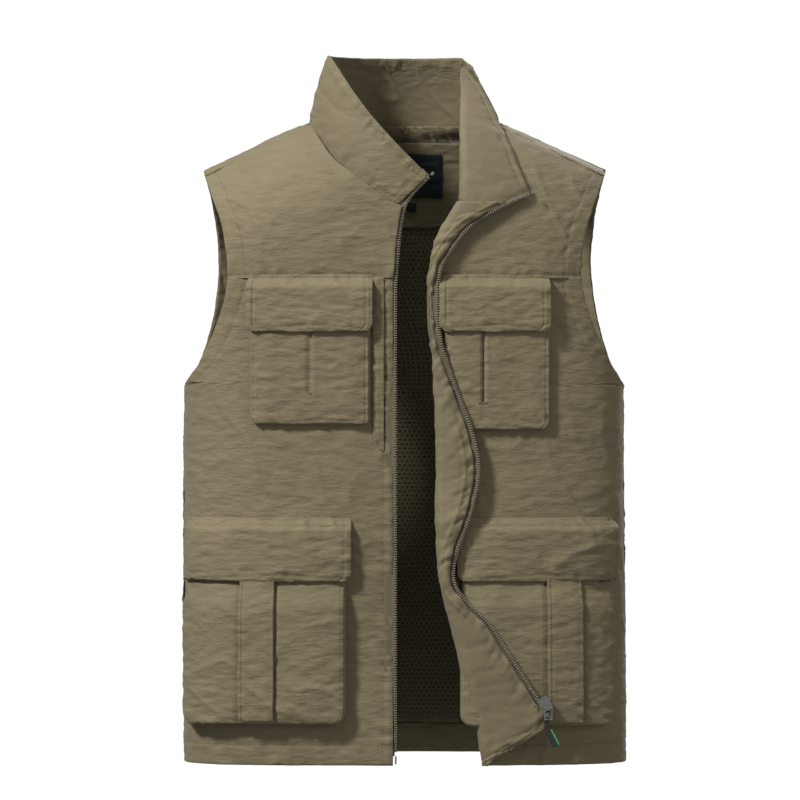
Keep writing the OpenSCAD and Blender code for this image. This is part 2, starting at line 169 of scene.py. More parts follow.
def distances(grid):
    """Distances in millimetres from the left, right, top and bottom edges, along rows and columns."""
    row = np.linalg.norm(np.diff(grid, axis=1), axis=-1)
    col = np.linalg.norm(np.diff(grid, axis=0), axis=-1)
    left = np.concatenate([np.zeros((grid.shape[0], 1)), np.cumsum(row, 1)], 1)
    top = np.concatenate([np.zeros((1, grid.shape[1])), np.cumsum(col, 0)], 0)
    return {"left": left, "right": left[:, -1:] - left, "top": top, "bottom": top[-1:] - top}


def seam(d, edge, inset, depth=0.5, width=1.6, pucker=0.35, reach=9.0, pitch=7.0, seed=1):
    """The height of a sewn seam that runs beside an edge: a groove with puckers either side."""
    across = d[edge] - inset
    along = d["top"] if edge in ("left", "right") else d["left"]
    ripple = noise(along / pitch, across / 26 + 3, seed)
    ripple = ripple + 0.5 * noise(along / pitch * 2.3, across / 14, seed + 5)
    groove_part = -GROOVE_GAIN * depth * np.exp(-(across / width) ** 2)
    return groove_part + PUCKER_GAIN * pucker * ripple * np.exp(-(across / reach) ** 2)


def side_seams(d, inset, depth, width, pucker, reach, pitch, seed):
    """The heights of two like seams, beside the left and the right edge."""
    return (seam(d, "left", inset, depth, width, pucker, reach, pitch, seed)
            + seam(d, "right", inset, depth, width, pucker, reach, pitch, seed + 1))


def crinkle(grid, seed, size=1.0):
    """Soft wrinkles over a panel: broad folds, slanting creases and fine crinkles."""
    s, z = girth_of(grid[..., 0]), grid[..., 2]
    warp = 18 * noise(s / 60, z / 60, seed + 9)
    broad = 3.0 * noise(s / 70, (z + warp) / 110, seed)
    slant = noise((s + 0.5 * z + warp) / 34, (z - 0.3 * s) / 70, seed + 1)
    crease = (1 - np.abs(slant)) ** 5 * 2.6 * (0.5 + 0.5 * noise(s / 90, z / 90, seed + 2))
    fine = 0.62 * noise((s + warp) / 13, (z + warp * 0.5) / 5.5, seed + 3)
    finer = 0.3 * noise(s / 6, z / 3, seed + 4)
    return size * (broad + crease + fine + finer)


def build_mesh(name, chunks):
    """One mesh from a list of (vertices, faces, material number)."""
    verts, faces, mats, base = [], [], [], 0
    for v, f, m in chunks:
        verts.append(np.asarray(v, float))
        faces.extend((np.asarray(f, int) + base).tolist())
        mats.extend([m] * len(f))
        base += len(v)
    mesh = bpy.data.meshes.new(f"vest_{name}")
    mesh.from_pydata((np.concatenate(verts) * MM).tolist(), [], faces)
    mesh.polygons.foreach_set("material_index", mats)
    mesh.polygons.foreach_set("use_smooth", [True] * len(faces))
    mesh.update()
    obj = bpy.data.objects.new(f"vest_{name}", mesh)
    bpy.context.scene.collection.objects.link(obj)
    return obj


def quads(rows, cols, offset=0, flip=False):
    i = np.arange(rows * cols).reshape(rows, cols) + offset
    f = np.stack([i[:-1, :-1], i[1:, :-1], i[1:, 1:], i[:-1, 1:]], -1).reshape(-1, 4)
    return f[:, ::-1] if flip else f


def border(rows, cols):
    """The indices round a grid's edge, in order."""
    i = np.arange(rows * cols).reshape(rows, cols)
    return np.concatenate([i[0, :-1], i[:-1, -1], i[-1, :0:-1], i[:0:-1, 0]])


def thick_chunk(grid, normal, thick, material):
    """A closed sheet: the grid, a second layer below it, and a rounded edge."""
    rows, cols = grid.shape[:2]
    under = grid - normal * thick
    count = rows * cols
    flat, low = grid.reshape(-1, 3), under.reshape(-1, 3)
    ring = border(rows, cols)
    inward = np.zeros_like(grid)
    inward[0] = grid[1] - grid[0]
    inward[-1] = grid[-2] - grid[-1]
    inward[:, 0] += grid[:, 1] - grid[:, 0]
    inward[:, -1] += grid[:, -2] - grid[:, -1]
    size = np.linalg.norm(inward, axis=-1, keepdims=True)
    inward = (inward / np.where(size < 1e-9, 1, size)).reshape(-1, 3)
    middle = (flat[ring] + low[ring]) / 2 - inward[ring] * thick * 0.4
    verts = np.concatenate([flat, low, middle])
    a, b = ring, np.roll(ring, -1)
    m = 2 * count + np.arange(len(ring))
    n = np.roll(m, -1)
    faces = np.concatenate([quads(rows, cols), quads(rows, cols, count, True),
                            np.stack([a, b, n, m], -1), np.stack([m, n, b + count, a + count], -1)])
    return verts, faces, material


def on_grid(grid, normal, r, c):
    """Points and normals at fractional rows and columns."""
    rows, cols = grid.shape[:2]
    r, c = np.clip(r, 0, rows - 1.001), np.clip(c, 0, cols - 1.001)
    i, j = r.astype(int), c.astype(int)
    fr, fc = (r - i)[:, None], (c - j)[:, None]

    def pick(a):
        return ((a[i, j] * (1 - fr) + a[i + 1, j] * fr) * (1 - fc)
                + (a[i, j + 1] * (1 - fr) + a[i + 1, j + 1] * fr) * fc)
    return pick(grid), pick(normal)


def seam_line(grid, normal, d, edge, inset, start=0.0, stop=1.0):
    """The points of a seam that runs beside an edge, between two shares of its length."""
    rows, cols = grid.shape[:2]
    if edge in ("left", "right"):
        r = np.linspace(start, stop, rows * 2) * (rows - 1)
        near = d[edge][np.clip(np.round(r).astype(int), 0, rows - 1)]
        c = np.array([np.interp(inset, line if edge == "left" else line[::-1],
                                np.arange(cols) if edge == "left" else np.arange(cols)[::-1])
                       for line in near])
    else:
        c = np.linspace(start, stop, cols * 2) * (cols - 1)
        near = d[edge][:, np.clip(np.round(c).astype(int), 0, cols - 1)].T
        r = np.array([np.interp(inset, line if edge == "top" else line[::-1],
                                np.arange(rows) if edge == "top" else np.arange(rows)[::-1])
                       for line in near])
    return on_grid(grid, normal, r, c)


STITCH = np.array([[-1, 0, -.3], [-.7, .8, .2], [-.7, -.8, .2], [0, .9, .55], [0, -.9, .55], [0, 0, .9],
                   [.7, .8, .2], [.7, -.8, .2], [1, 0, -.3]])
STITCH_FACES = [[0, 1, 3, 5], [0, 5, 4, 2], [8, 5, 3, 6], [8, 7, 4, 5],
                [0, 2, 4, 1], [4, 7, 3, 1], [7, 8, 6, 3]]


def stitch_chunk(points, normal, material, pitch=3.2, length=2.3, width=0.45):
    """A row of lockstitches lying along a line on the cloth."""
    step = np.linalg.norm(np.diff(points, axis=0), axis=1)
    run = np.concatenate([[0], np.cumsum(step)])
    if run[-1] < pitch:
        return None
    at = np.arange(pitch / 2, run[-1], pitch)
    centre = np.stack([np.interp(at, run, points[:, k]) for k in range(3)], -1)
    ahead = np.stack([np.interp(at + 0.5, run, points[:, k]) for k in range(3)], -1)
    up = np.stack([np.interp(at, run, normal[:, k]) for k in range(3)], -1)
    along = ahead - centre
    along /= np.maximum(np.linalg.norm(along, axis=1, keepdims=True), 1e-6)
    across = np.cross(up, along)
    shape = STITCH * np.array([length / 2, width / 2, width])
    verts = (centre[:, None] + along[:, None] * shape[None, :, :1] + across[:, None] * shape[None, :, 1:2]
             + up[:, None] * (shape[None, :, 2:3] + 0.05))
    faces = (np.arange(len(at))[:, None, None] * len(STITCH) + np.array(STITCH_FACES)[None]).reshape(-1, 4)
    return verts.reshape(-1, 3), faces, material


def measure(grid):
    """The flat width, length and area of a grid, in metres."""
    d = distances(grid)
    across, down = np.gradient(grid, axis=1), np.gradient(grid, axis=0)
    area = np.linalg.norm(np.cross(across, down), axis=-1)[:-1, :-1].sum()
    return d["left"][:, -1].max() * MM, d["top"][-1].max() * MM, area * MM * MM


def cloth(name, grid, toward, slot, thick=1.2, height=None, seams=(), body=None, blend=None,
          replaces=None, fade_sides=False):
    """A finished piece of cloth from a grid. seams is a list of (edge, inset, start, stop).

    It stands for the node of its own name, unless replaces names others.
    """
    normal = normals_of(grid, toward)
    flat = grid
    if height is not None:
        side_fade = 0.08 + 0.92 * ease(np.abs(normal[..., 1:2]) * 1.15) if fade_sides else 1.0
        grid = grid + normal * height[..., None] * side_fade
        normal = normals_of(grid, toward)
    chunks = [thick_chunk(grid, normal, thick, 0)]
    d = distances(grid)
    for edge, inset, start, stop in seams:
        chunk = stitch_chunk(*seam_line(grid, normal, d, edge, inset, start, stop), 1)
        if chunk:
            chunks.append(chunk)
    obj = build_mesh(name, chunks)
    for mat in CLOTHS[slot]:
        obj.data.materials.append(mat)
    attach(obj, body, blend, (name,) if replaces is None else replaces)
    declare_sheet(flat)
    return obj


def declare_sheet(grid):
    """Works out a piece's flat width, length and area from its grid, as a sheet of cloth; nothing is done
    with them.
    """
    w, length, area = measure(grid)
    w, length = round(w * 1.03, 3), round(length * 1.03, 3)
    area = min(max(area, 0.31 * w * length), w * length)


def attach(obj, body, blend, replaces):
    """Parents a piece to its body, or bakes it in place if it has a blend, and hides the frame nodes that it
    stands for.
    """
    if blend:
        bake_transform(obj)
    else:
        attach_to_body(obj, body)
    if replaces:
        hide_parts(*replaces)


# ---- Camera, world and light ----
def add_camera():
    cam = bpy.data.cameras.new("camera")
    cam.sensor_width = 36
    distance = 5.0
    frame_width = 0.865
    cam.lens = cam.sensor_width * (distance - HALF_D * MM) / frame_width
    cam.clip_end = 50
    obj = bpy.data.objects.new("camera", cam)
    obj.location = (-0.005, -distance, -0.305)
    obj.rotation_euler = (math.pi / 2, 0, 0)
    bpy.context.scene.collection.objects.link(obj)
    bpy.context.scene.camera = obj


def add_light(name, kind, place, aim, power, size):
    light = bpy.data.lights.new(name, kind)
    light.energy = power
    light.size = size
    obj = bpy.data.objects.new(name, light)
    obj.location = place
    way = np.array(aim) - np.array(place)
    tilt = math.acos(-way[2] / np.linalg.norm(way))
    obj.rotation_euler = (tilt, 0, math.atan2(way[1], way[0]) - math.pi / 2)
    bpy.context.scene.collection.objects.link(obj)


WORLD_LIGHT = 0.26


def add_world():
    """A soft white light all round, with a plain white background behind the vest."""
    world = bpy.data.worlds.new("world")
    world.use_nodes = True
    nodes, links = world.node_tree.nodes, world.node_tree.links
    glow = nodes["Background"]
    glow.inputs["Color"].default_value = (1, 1, 1, 1)
    glow.inputs["Strength"].default_value = WORLD_LIGHT
    plain = nodes.new("ShaderNodeBackground")
    plain.inputs["Color"].default_value = (1, 1, 1, 1)
    plain.inputs["Strength"].default_value = 1.05
    rays = nodes.new("ShaderNodeLightPath")
    mix = nodes.new("ShaderNodeMixShader")
    links.new(rays.outputs["Is Camera Ray"], mix.inputs[0])
    links.new(glow.outputs[0], mix.inputs[1])
    links.new(plain.outputs[0], mix.inputs[2])
    links.new(mix.outputs[0], nodes["World Output"].inputs["Surface"])
    bpy.context.scene.world = world


# ---- Materials ----
def make_fabric(name, base, variation=0.10, roughness=0.72, sheen=0.12, crinkle_mm=2.2, weave=0.25):
    """Woven cloth: colour drift, faint slubs, crinkles in the bump and a fine weave."""
    mat = bpy.data.materials.new(name)
    mat.use_nodes = True
    tree = mat.node_tree
    nodes, links = tree.nodes, tree.links
    shader = nodes["Principled BSDF"]
    shader.inputs["Roughness"].default_value = roughness
    shader.inputs["Sheen Weight"].default_value = sheen
    shader.inputs["Sheen Roughness"].default_value = 0.45
    shader.inputs["Specular IOR Level"].default_value = 0.28
    coords = nodes.new("ShaderNodeTexCoord")

    def noise_node(scale, detail, stretch):
        mapping = nodes.new("ShaderNodeMapping")
        mapping.inputs["Scale"].default_value = stretch
        links.new(coords.outputs["Object"], mapping.inputs["Vector"])
        tex = nodes.new("ShaderNodeTexNoise")
        tex.inputs["Scale"].default_value = scale
        tex.inputs["Detail"].default_value = detail
        tex.inputs["Roughness"].default_value = 0.6
        links.new(mapping.outputs["Vector"], tex.inputs["Vector"])
        return tex.outputs["Fac"]

    broad = noise_node(9, 4, (1, 1, 1))
    streak = noise_node(120, 3, (0.35, 0.35, 1.6))
    mix = nodes.new("ShaderNodeMath")
    mix.operation = "MULTIPLY_ADD"
    mix.inputs[1].default_value = 0.55
    links.new(streak, mix.inputs[0])
    scaled = nodes.new("ShaderNodeMath")
    scaled.operation = "MULTIPLY"
    scaled.inputs[1].default_value = 0.45
    links.new(broad, scaled.inputs[0])
    links.new(scaled.outputs[0], mix.inputs[2])
    ramp = nodes.new("ShaderNodeValToRGB")
    dark = [c * (1 - variation * 1.3) for c in base]
    light = [min(1, c * (1 + variation)) for c in base]
    ramp.color_ramp.elements[0].position = 0.3
    ramp.color_ramp.elements[0].color = (*dark, 1)
    ramp.color_ramp.elements[1].position = 0.7
    ramp.color_ramp.elements[1].color = (*light, 1)
    links.new(mix.outputs[0], ramp.inputs["Fac"])
    links.new(ramp.outputs["Color"], shader.inputs["Base Color"])

    crinkles = noise_node(95, 5, (0.55, 0.55, 1.7))
    bump = nodes.new("ShaderNodeBump")
    bump.inputs["Strength"].default_value = 0.9
    bump.inputs["Distance"].default_value = crinkle_mm * MM
    links.new(crinkles, bump.inputs["Height"])
    last = bump
    for direction in ("X", "Z"):
        wave = nodes.new("ShaderNodeTexWave")
        wave.bands_direction = direction
        wave.inputs["Scale"].default_value = 620
        wave.inputs["Distortion"].default_value = 1.2
        wave.inputs["Detail"].default_value = 1
        links.new(coords.outputs["Object"], wave.inputs["Vector"])
        fine = nodes.new("ShaderNodeBump")
        fine.inputs["Strength"].default_value = weave
        fine.inputs["Distance"].default_value = 0.08 * MM
        links.new(wave.outputs["Fac"], fine.inputs["Height"])
        links.new(last.outputs["Normal"], fine.inputs["Normal"])
        last = fine
    links.new(last.outputs["Normal"], shader.inputs["Normal"])
    return mat


def make_hard(name, base, metallic, roughness, speck=0.15):
    """Metal, moulded plastic or rubber with fine wear in its colour and gloss."""
    mat = bpy.data.materials.new(name)
    mat.use_nodes = True
    nodes, links = mat.node_tree.nodes, mat.node_tree.links
    shader = nodes["Principled BSDF"]
    shader.inputs["Metallic"].default_value = metallic
    coords = nodes.new("ShaderNodeTexCoord")
    tex = nodes.new("ShaderNodeTexNoise")
    tex.inputs["Scale"].default_value = 700
    tex.inputs["Detail"].default_value = 4
    links.new(coords.outputs["Object"], tex.inputs["Vector"])
    ramp = nodes.new("ShaderNodeValToRGB")
    ramp.color_ramp.elements[0].position = 0.3
    ramp.color_ramp.elements[0].color = (*[c * (1 - speck) for c in base], 1)
    ramp.color_ramp.elements[1].position = 0.75
    ramp.color_ramp.elements[1].color = (*[min(1, c * (1 + speck)) for c in base], 1)
    links.new(tex.outputs["Fac"], ramp.inputs["Fac"])
    links.new(ramp.outputs["Color"], shader.inputs["Base Color"])
    gloss = nodes.new("ShaderNodeMapRange")
    gloss.inputs["To Min"].default_value = max(0.05, roughness - 0.1)
    gloss.inputs["To Max"].default_value = min(1, roughness + 0.12)
    links.new(tex.outputs["Fac"], gloss.inputs["Value"])
    links.new(gloss.outputs["Result"], shader.inputs["Roughness"])
    bump = nodes.new("ShaderNodeBump")
    bump.inputs["Strength"].default_value = 0.2
    bump.inputs["Distance"].default_value = 0.05 * MM
    links.new(tex.outputs["Fac"], bump.inputs["Height"])
    links.new(bump.outputs["Normal"], shader.inputs["Normal"])
    return mat


KHAKI = (0.177, 0.147, 0.083)
SHELL = make_fabric("khaki_nylon", KHAKI)
INNER = make_fabric("khaki_inner", tuple(c * 0.97 for c in KHAKI), crinkle_mm=0.35)
THREAD = make_fabric("khaki_thread", (0.125, 0.103, 0.057), roughness=0.6, crinkle_mm=0.05)
MESH = make_fabric("olive_mesh", (0.105, 0.09, 0.048), crinkle_mm=0.2, roughness=0.85)
LABEL = make_fabric("label_satin", (0.010, 0.017, 0.022), roughness=0.5, crinkle_mm=0.08)
TAPE = make_fabric("zip_tape", (0.125, 0.105, 0.06), crinkle_mm=0.1, weave=0.6)
TEETH = make_hard("zip_teeth", (0.21, 0.185, 0.13), 0.0, 0.38)
METAL = make_hard("zip_metal", (0.32, 0.32, 0.31), 0.9, 0.32)
RUBBER = make_hard("pull_rubber", (0.016, 0.019, 0.019), 0.0, 0.55)
ACCENT = make_hard("pull_accent", (0.06, 0.33, 0.09), 0.0, 0.5)
HOOKS = make_fabric("hook_and_loop", (0.21, 0.18, 0.10), crinkle_mm=0.8, roughness=0.95, sheen=0.6)
CLOTHS = {"shell_cloth": (SHELL, THREAD), "inner_cloth": (INNER, THREAD), "mesh_cloth": (MESH, THREAD),
          "label_cloth": (LABEL, LABEL), "hook_and_loop": (HOOKS, THREAD)}

# ---- Outlines, as (x, z), from the shoulder down ----
ARM_FRONT = [(-222, -52), (-210, -84), (-200, -112), (-194, -142), (-192, -172), (-197, -200), (-210, -235),
             (-226, -266), (-242, -289)]
ARM_BACK = [(-222, -52), (-213, -100), (-209, -153), (-214, -205), (-226, -252), (-242, -289)]
NECK_RIGHT = [(-105, 0), (-80, -40), (-59, -58), (-26, -83), (-9, -93)]
ZIP_RIGHT = [(27, -62), (11, -78), (0, -94), (-5, -116), (-8, -146), (-10, -172), (-11, -240), (-11, -690)]
FOLD_LEFT = [(60, -78), (59, -89), (49, -105), (35, -132), (28, -164), (25, -197), (30, -262), (34, -316),
             (36, -380), (35, -413), (36, -462), (42, -510), (55, -564), (65, -607), (76, -651), (85, -700)]
ZIP_LEFT = [(136, -81), (103, -96), (71, -116), (49, -143), (38, -164), (35, -197), (38, -240), (55, -294),
            (71, -337), (79, -380), (71, -424), (56, -467), (52, -499), (65, -521), (92, -548), (152, -642)]
arm_front = smooth_path(ARM_FRONT)
arm_back = smooth_path(ARM_BACK)
neck_right = smooth_path(NECK_RIGHT)
zip_right = smooth_path(ZIP_RIGHT)
fold_left = smooth_path(FOLD_LEFT)
zip_left = smooth_path(ZIP_LEFT[:-1])
zip_left = np.vstack([zip_left, ZIP_LEFT[-1:]])

FRONT, BACK = (0, -1, 0), (0, 1, 0)
BLEND_TOP, BLEND_LOW = 0.0, YOKE_Z * MM


def upper_blend(body):
    """The blend for cloth above the yoke seam, from the shoulders at its top to the front at its bottom;
    attach only uses it to bake such cloth in place.
    """
    return ("root", body, (0, -0.1, BLEND_TOP), (0, -0.1, BLEND_LOW))


def shoulder_x(z):
    """Where the shoulder seam is at a height."""
    return -NECK_X + (SHOULDER[0] - NECK_X) * z / -SHOULDER[1]


# The seeds of each panel's wrinkles, which the layers over and under it share
FRONT_SEED = {"right": 11, "left": 31}
YOKE_SEED = {"right": 41, "left": 51}
BACK_SEED = 61


# ---- Shell ----
def front_panel_right():
    zs = np.linspace(YOKE_Z, HEM_Z, 190)
    left = np.where(zs < -289, -HALF_W, x_at(arm_front, zs))
    grid = body_grid(zs, left, -13.0, 92, -1)
    d = distances(grid)
    h = crinkle(grid, FRONT_SEED["right"])
    h += seam(d, "right", 11, 0.8, 1.4, 0.5, 10, 9, 21) + seam(d, "bottom", HEM_H, 0.6, 1.4, 0.4, 8, 9, 22)
    h += ease((grid[..., 2] + 300) / 40) * seam(d, "left", 20, 0.5, 1.4, 0.35, 8, 9, 23)
    strip = np.exp(-((d["right"] - 5) / 5) ** 2)
    h += 0.9 * strip * noise(d["top"] / 4.6, d["right"] / 14, 24)
    cloth("front_panel_right", grid, FRONT, "shell_cloth", height=h,
          seams=[("right", 11, 0, 1), ("bottom", HEM_H, 0, 1), ("right", 2.5, 0, 1)], body="right_front",
          replaces=("front_panel_right", "placket_right"))


def front_panel_left():
    zs = np.linspace(YOKE_Z, HEM_Z, 190)
    right = np.where(zs < -289, HALF_W, -x_at(arm_front, zs))
    grid = body_grid(zs, x_at(fold_left, zs) + 4, right, 82, -1)
    d = distances(grid)
    h = crinkle(grid, 31) + seam(d, "bottom", HEM_H, 0.6, 1.4, 0.4, 8, 9, 32)
    h += ease((grid[..., 2] + 300) / 40) * seam(d, "right", 20, 0.5, 1.4, 0.35, 8, 9, 33)
    cloth("front_panel_left", grid, FRONT, "shell_cloth", height=h,
          seams=[("bottom", HEM_H, 0, 1)], body="left_front")


def front_yoke_right():
    zs = np.linspace(-5.0, YOKE_Z - 0.6, 70)
    left = np.where(zs > SHOULDER[1], shoulder_x(zs), x_at(arm_front, zs))
    right = np.where(zs > -93, x_at(neck_right, zs), x_at(zip_right, zs) - 2)
    grid = body_grid(zs, left, np.maximum(right, left + 2), 76, -1)
    d = distances(grid)
    h = crinkle(grid, 41, 0.8) + seam(d, "bottom", 3, 0.9, 1.6, 0.4, 8, 9, 42)
    h += seam(d, "left", 20, 0.5, 1.4, 0.3, 8, 9, 43)
    cloth("front_yoke_right", grid, FRONT, "shell_cloth", height=h,
          seams=[("bottom", 4, 0, 1), ("left", 20, 0.3, 1)], blend=upper_blend("right_front"),)


def front_yoke_left():
    zs = np.linspace(-5.0, YOKE_Z - 0.6, 70)
    right = -np.where(zs > SHOULDER[1], shoulder_x(zs), x_at(arm_front, zs))
    left = np.where(zs > -89, -x_at(neck_right, np.maximum(zs, -70)), x_at(fold_left, zs) + 3)
    left = np.where(zs > -89, np.maximum(left, 64), left)
    grid = body_grid(zs, np.minimum(left, right - 2), right, 76, -1)
    d = distances(grid)
    h = crinkle(grid, 51, 0.8) + seam(d, "bottom", 3, 0.9, 1.6, 0.4, 8, 9, 52)
    h += seam(d, "right", 20, 0.5, 1.4, 0.3, 8, 9, 53)
    cloth("front_yoke_left", grid, FRONT, "shell_cloth", height=h,
          seams=[("bottom", 4, 0, 1), ("right", 20, 0.3, 1)], blend=upper_blend("left_front"),)


def back_panel():
    zs = np.linspace(-3.0, HEM_Z, 230)
    left = np.where(zs > SHOULDER[1], shoulder_x(zs), np.where(zs < -289, -HALF_W, x_at(arm_back, zs)))
    grid = body_grid(zs, left, -left, 160, 1)
    d = distances(grid)
    h = crinkle(grid, 61) + seam(d, "bottom", HEM_H, 0.6, 1.4, 0.4, 8, 9, 62)
    cloth("back_panel", grid, BACK, "shell_cloth", height=h,
          seams=[("bottom", HEM_H, 0, 1)], body="root")
    for side, word in ((-1, "right"), (1, "left")):
        along = np.linspace(0, 1, 40)
        turn = np.linspace(-0.36, 0.5, 16)
        x = side * (NECK_X + 1 + along * (SHOULDER[0] - NECK_X - 4))
        z = SHOULDER[1] * along
        grid = np.zeros((16, 40, 3))
        for k, t in enumerate(turn):
            grid[k, :, 0] = x
            grid[k, :, 1] = 100 * t * np.interp(np.abs(x), _px, _py) / HALF_D
            grid[k, :, 2] = z + 0.6 - 105 * (1 - math.sqrt(1 - t * t))
        d = distances(grid)
        cloth(f"shoulder_roll_{word}", grid, (0, 0, 1), "shell_cloth",
              height=seam(d, "top", 4, 0.5, 1.3, 0.3, 6, 9, 64), seams=[("top", 3, 0, 1)], body="root",
              replaces=())


# ---- Front facing, turned out ----
def proud(z):
    """How far the turned-out front stands before the panel."""
    return np.interp(z, [-700, -436, -400, YOKE_Z, -90], [19.5, 19.5, 13, 10, 9])


def facing_grid(zs, columns=64):
    rows = []
    for z in zs:
        x_fold = float(x_at(fold_left, z))
        slant = 85 + (z + 700) / 42 * 67
        x_end = float(x_at(zip_left, z)) - 5 if z > -636 else min(slant, 150.0)
        x_end = max(x_end, x_fold + 5)
        depth = float(depth_at(x_fold, z))
        gap = float(proud(z))
        roll = min(9.0, 0.5 * (x_end - x_fold))
        top = depth + gap
        mid, half = (top + depth - 4) / 2, (top - depth + 4) / 2
        path = [(x_fold + 40, -depth + 5), (x_fold + roll + 6, -depth + 4)]
        path += [(x_fold + roll - roll * math.sin(a), -mid + half * math.cos(a))
                 for a in np.linspace(0, math.pi, 12)]
        for share in np.linspace(0.12, 1, 12):
            x = x_fold + roll + (x_end - x_fold - roll) * share
            path.append((x, -(float(depth_at(x, z)) + gap + 1.6 * math.sin(math.pi * share))))
        path = np.array(path)
        run = np.concatenate([[0], np.cumsum(np.hypot(*np.diff(path, axis=0).T))])
        at = np.linspace(0, run[-1], columns)
        rows.append(np.stack([np.interp(at, run, path[:, 0]), np.interp(at, run, path[:, 1]),
                              np.full(columns, z)], -1))
    return np.array(rows)


def front_facing_left():
    zs = np.linspace(-91, HEM_Z + 1, 260)
    grid = facing_grid(zs)
    d = distances(grid)
    h = 0.6 * crinkle(grid, 71)
    edge = np.exp(-((d["right"] - 4) / 8) ** 2)
    h += 1.3 * edge * noise(d["top"] / 5.0, d["right"] / 16, 72)
    h += seam(d, "right", 9, 0.7, 1.4, 0.5, 12, 8, 73)
    h += np.where(grid[..., 2] < -600, seam(d, "bottom", 24, 0.6, 1.4, 0.4, 8, 9, 74), 0)
    h *= ease(d["left"] / 30)
    cloth("front_facing_left", grid, FRONT, "inner_cloth", height=h,
          seams=[("right", 8, 0, 0.9), ("bottom", 24, 0.5, 1)], blend=upper_blend("left_front"),
          replaces=("front_facing_left", "front_facing_left_upper"))


# ---- Pockets and flaps ----
def rounded_sides(zs, x0, x1, bottom, r0, r1):
    """The left and right edges of a patch with rounded lower corners, at each height."""
    def pull(r):
        lift = np.clip((bottom + r - zs) / r, 0, 1)
        return r * (1 - np.sqrt(np.clip(1 - lift * lift, 0, 1)))
    return x0 + pull(r0), x1 - pull(r1)


def edge_rows(top, bottom, count):
    """Heights that crowd together near the bottom edge."""
    t = np.linspace(0, 1, count)
    return top + (bottom - top) * (t + 0.04 * np.sin(math.pi * t) * np.sin(math.pi * t / 2))


def patch_grid(x0, x1, top, bottom, r0, r1, rows, cols):
    zs = edge_rows(top, bottom, rows)
    left, right = rounded_sides(zs, x0, x1, bottom, r0, r1)
    share_bias = 0.55
    return body_grid(zs, left, right, cols, -1, bias=-share_bias)


def lift_of(d, rise, r=3.5, top_open=True):
    """The height of a raised patch: steep at its sewn edges and level inside."""
    near = np.minimum(np.minimum(d["left"], d["right"]), d["bottom"])
    if not top_open:
        near = np.minimum(near, d["top"])
    t = np.clip(near / r, 0, 1)
    return rise * np.sqrt(np.clip(1 - (1 - t) ** 2, 0, 1))


def groove(grid, x, top, bottom, depth, width):
    """A narrow vertical fold between two heights."""
    z = grid[..., 2]
    ends = ease((top - z) / 6 + 0.5) * ease((z - bottom) / 6 + 0.5)
    return -depth * np.exp(-((grid[..., 0] - x) / width) ** 2) * ends


def chest_pocket(word, body, seed):
    low, high = node_box(f"chest_pocket_{word}")
    x0, x1, top, bottom = low[0], high[0], high[2], low[2]
    rise = -low[1] - HALF_D
    r0, r1 = (12, 5) if word == "right" else (5, 12)
    grid = patch_grid(x0, x1, top, bottom, r0, r1, 84, 78)
    d = distances(grid)
    middle = node_box(f"bar_tacks_{word}")
    pleat_x = {"right": -102.0, "left": 85.0}[word]
    tack_z = middle[1][2]
    h = 0.8 + lift_of(d, rise) + crinkle(grid, FRONT_SEED[word]) + 0.3 * crinkle(grid, seed)
    puff = ease(np.minimum(np.minimum(d["left"], d["right"]), d["bottom"]) / 26)
    h += 2.4 * puff * (0.7 + 0.3 * noise(grid[..., 0] / 40, grid[..., 2] / 40, seed + 7))
    h += groove(grid, pleat_x, top, tack_z - 1, 5.0, 1.5) + groove(grid, pleat_x + 3, top, tack_z, -0.8, 2.5)
    h += groove(grid, pleat_x, tack_z - 2, bottom + 3, 0.5, 1.0)
    h += side_seams(d, 5, 0.4, 1.2, 0.25, 6, 7, seed + 1)
    h += seam(d, "bottom", 5, 0.5, 1.2, 0.4, 7, 7, seed + 3)
    cloth(f"chest_pocket_{word}", grid, FRONT, "shell_cloth", thick=1.0, height=h,
          seams=[("left", 4.5, 0, 0.98), ("right", 4.5, 0, 0.98), ("bottom", 4.5, 0.02, 0.98)], body=body)


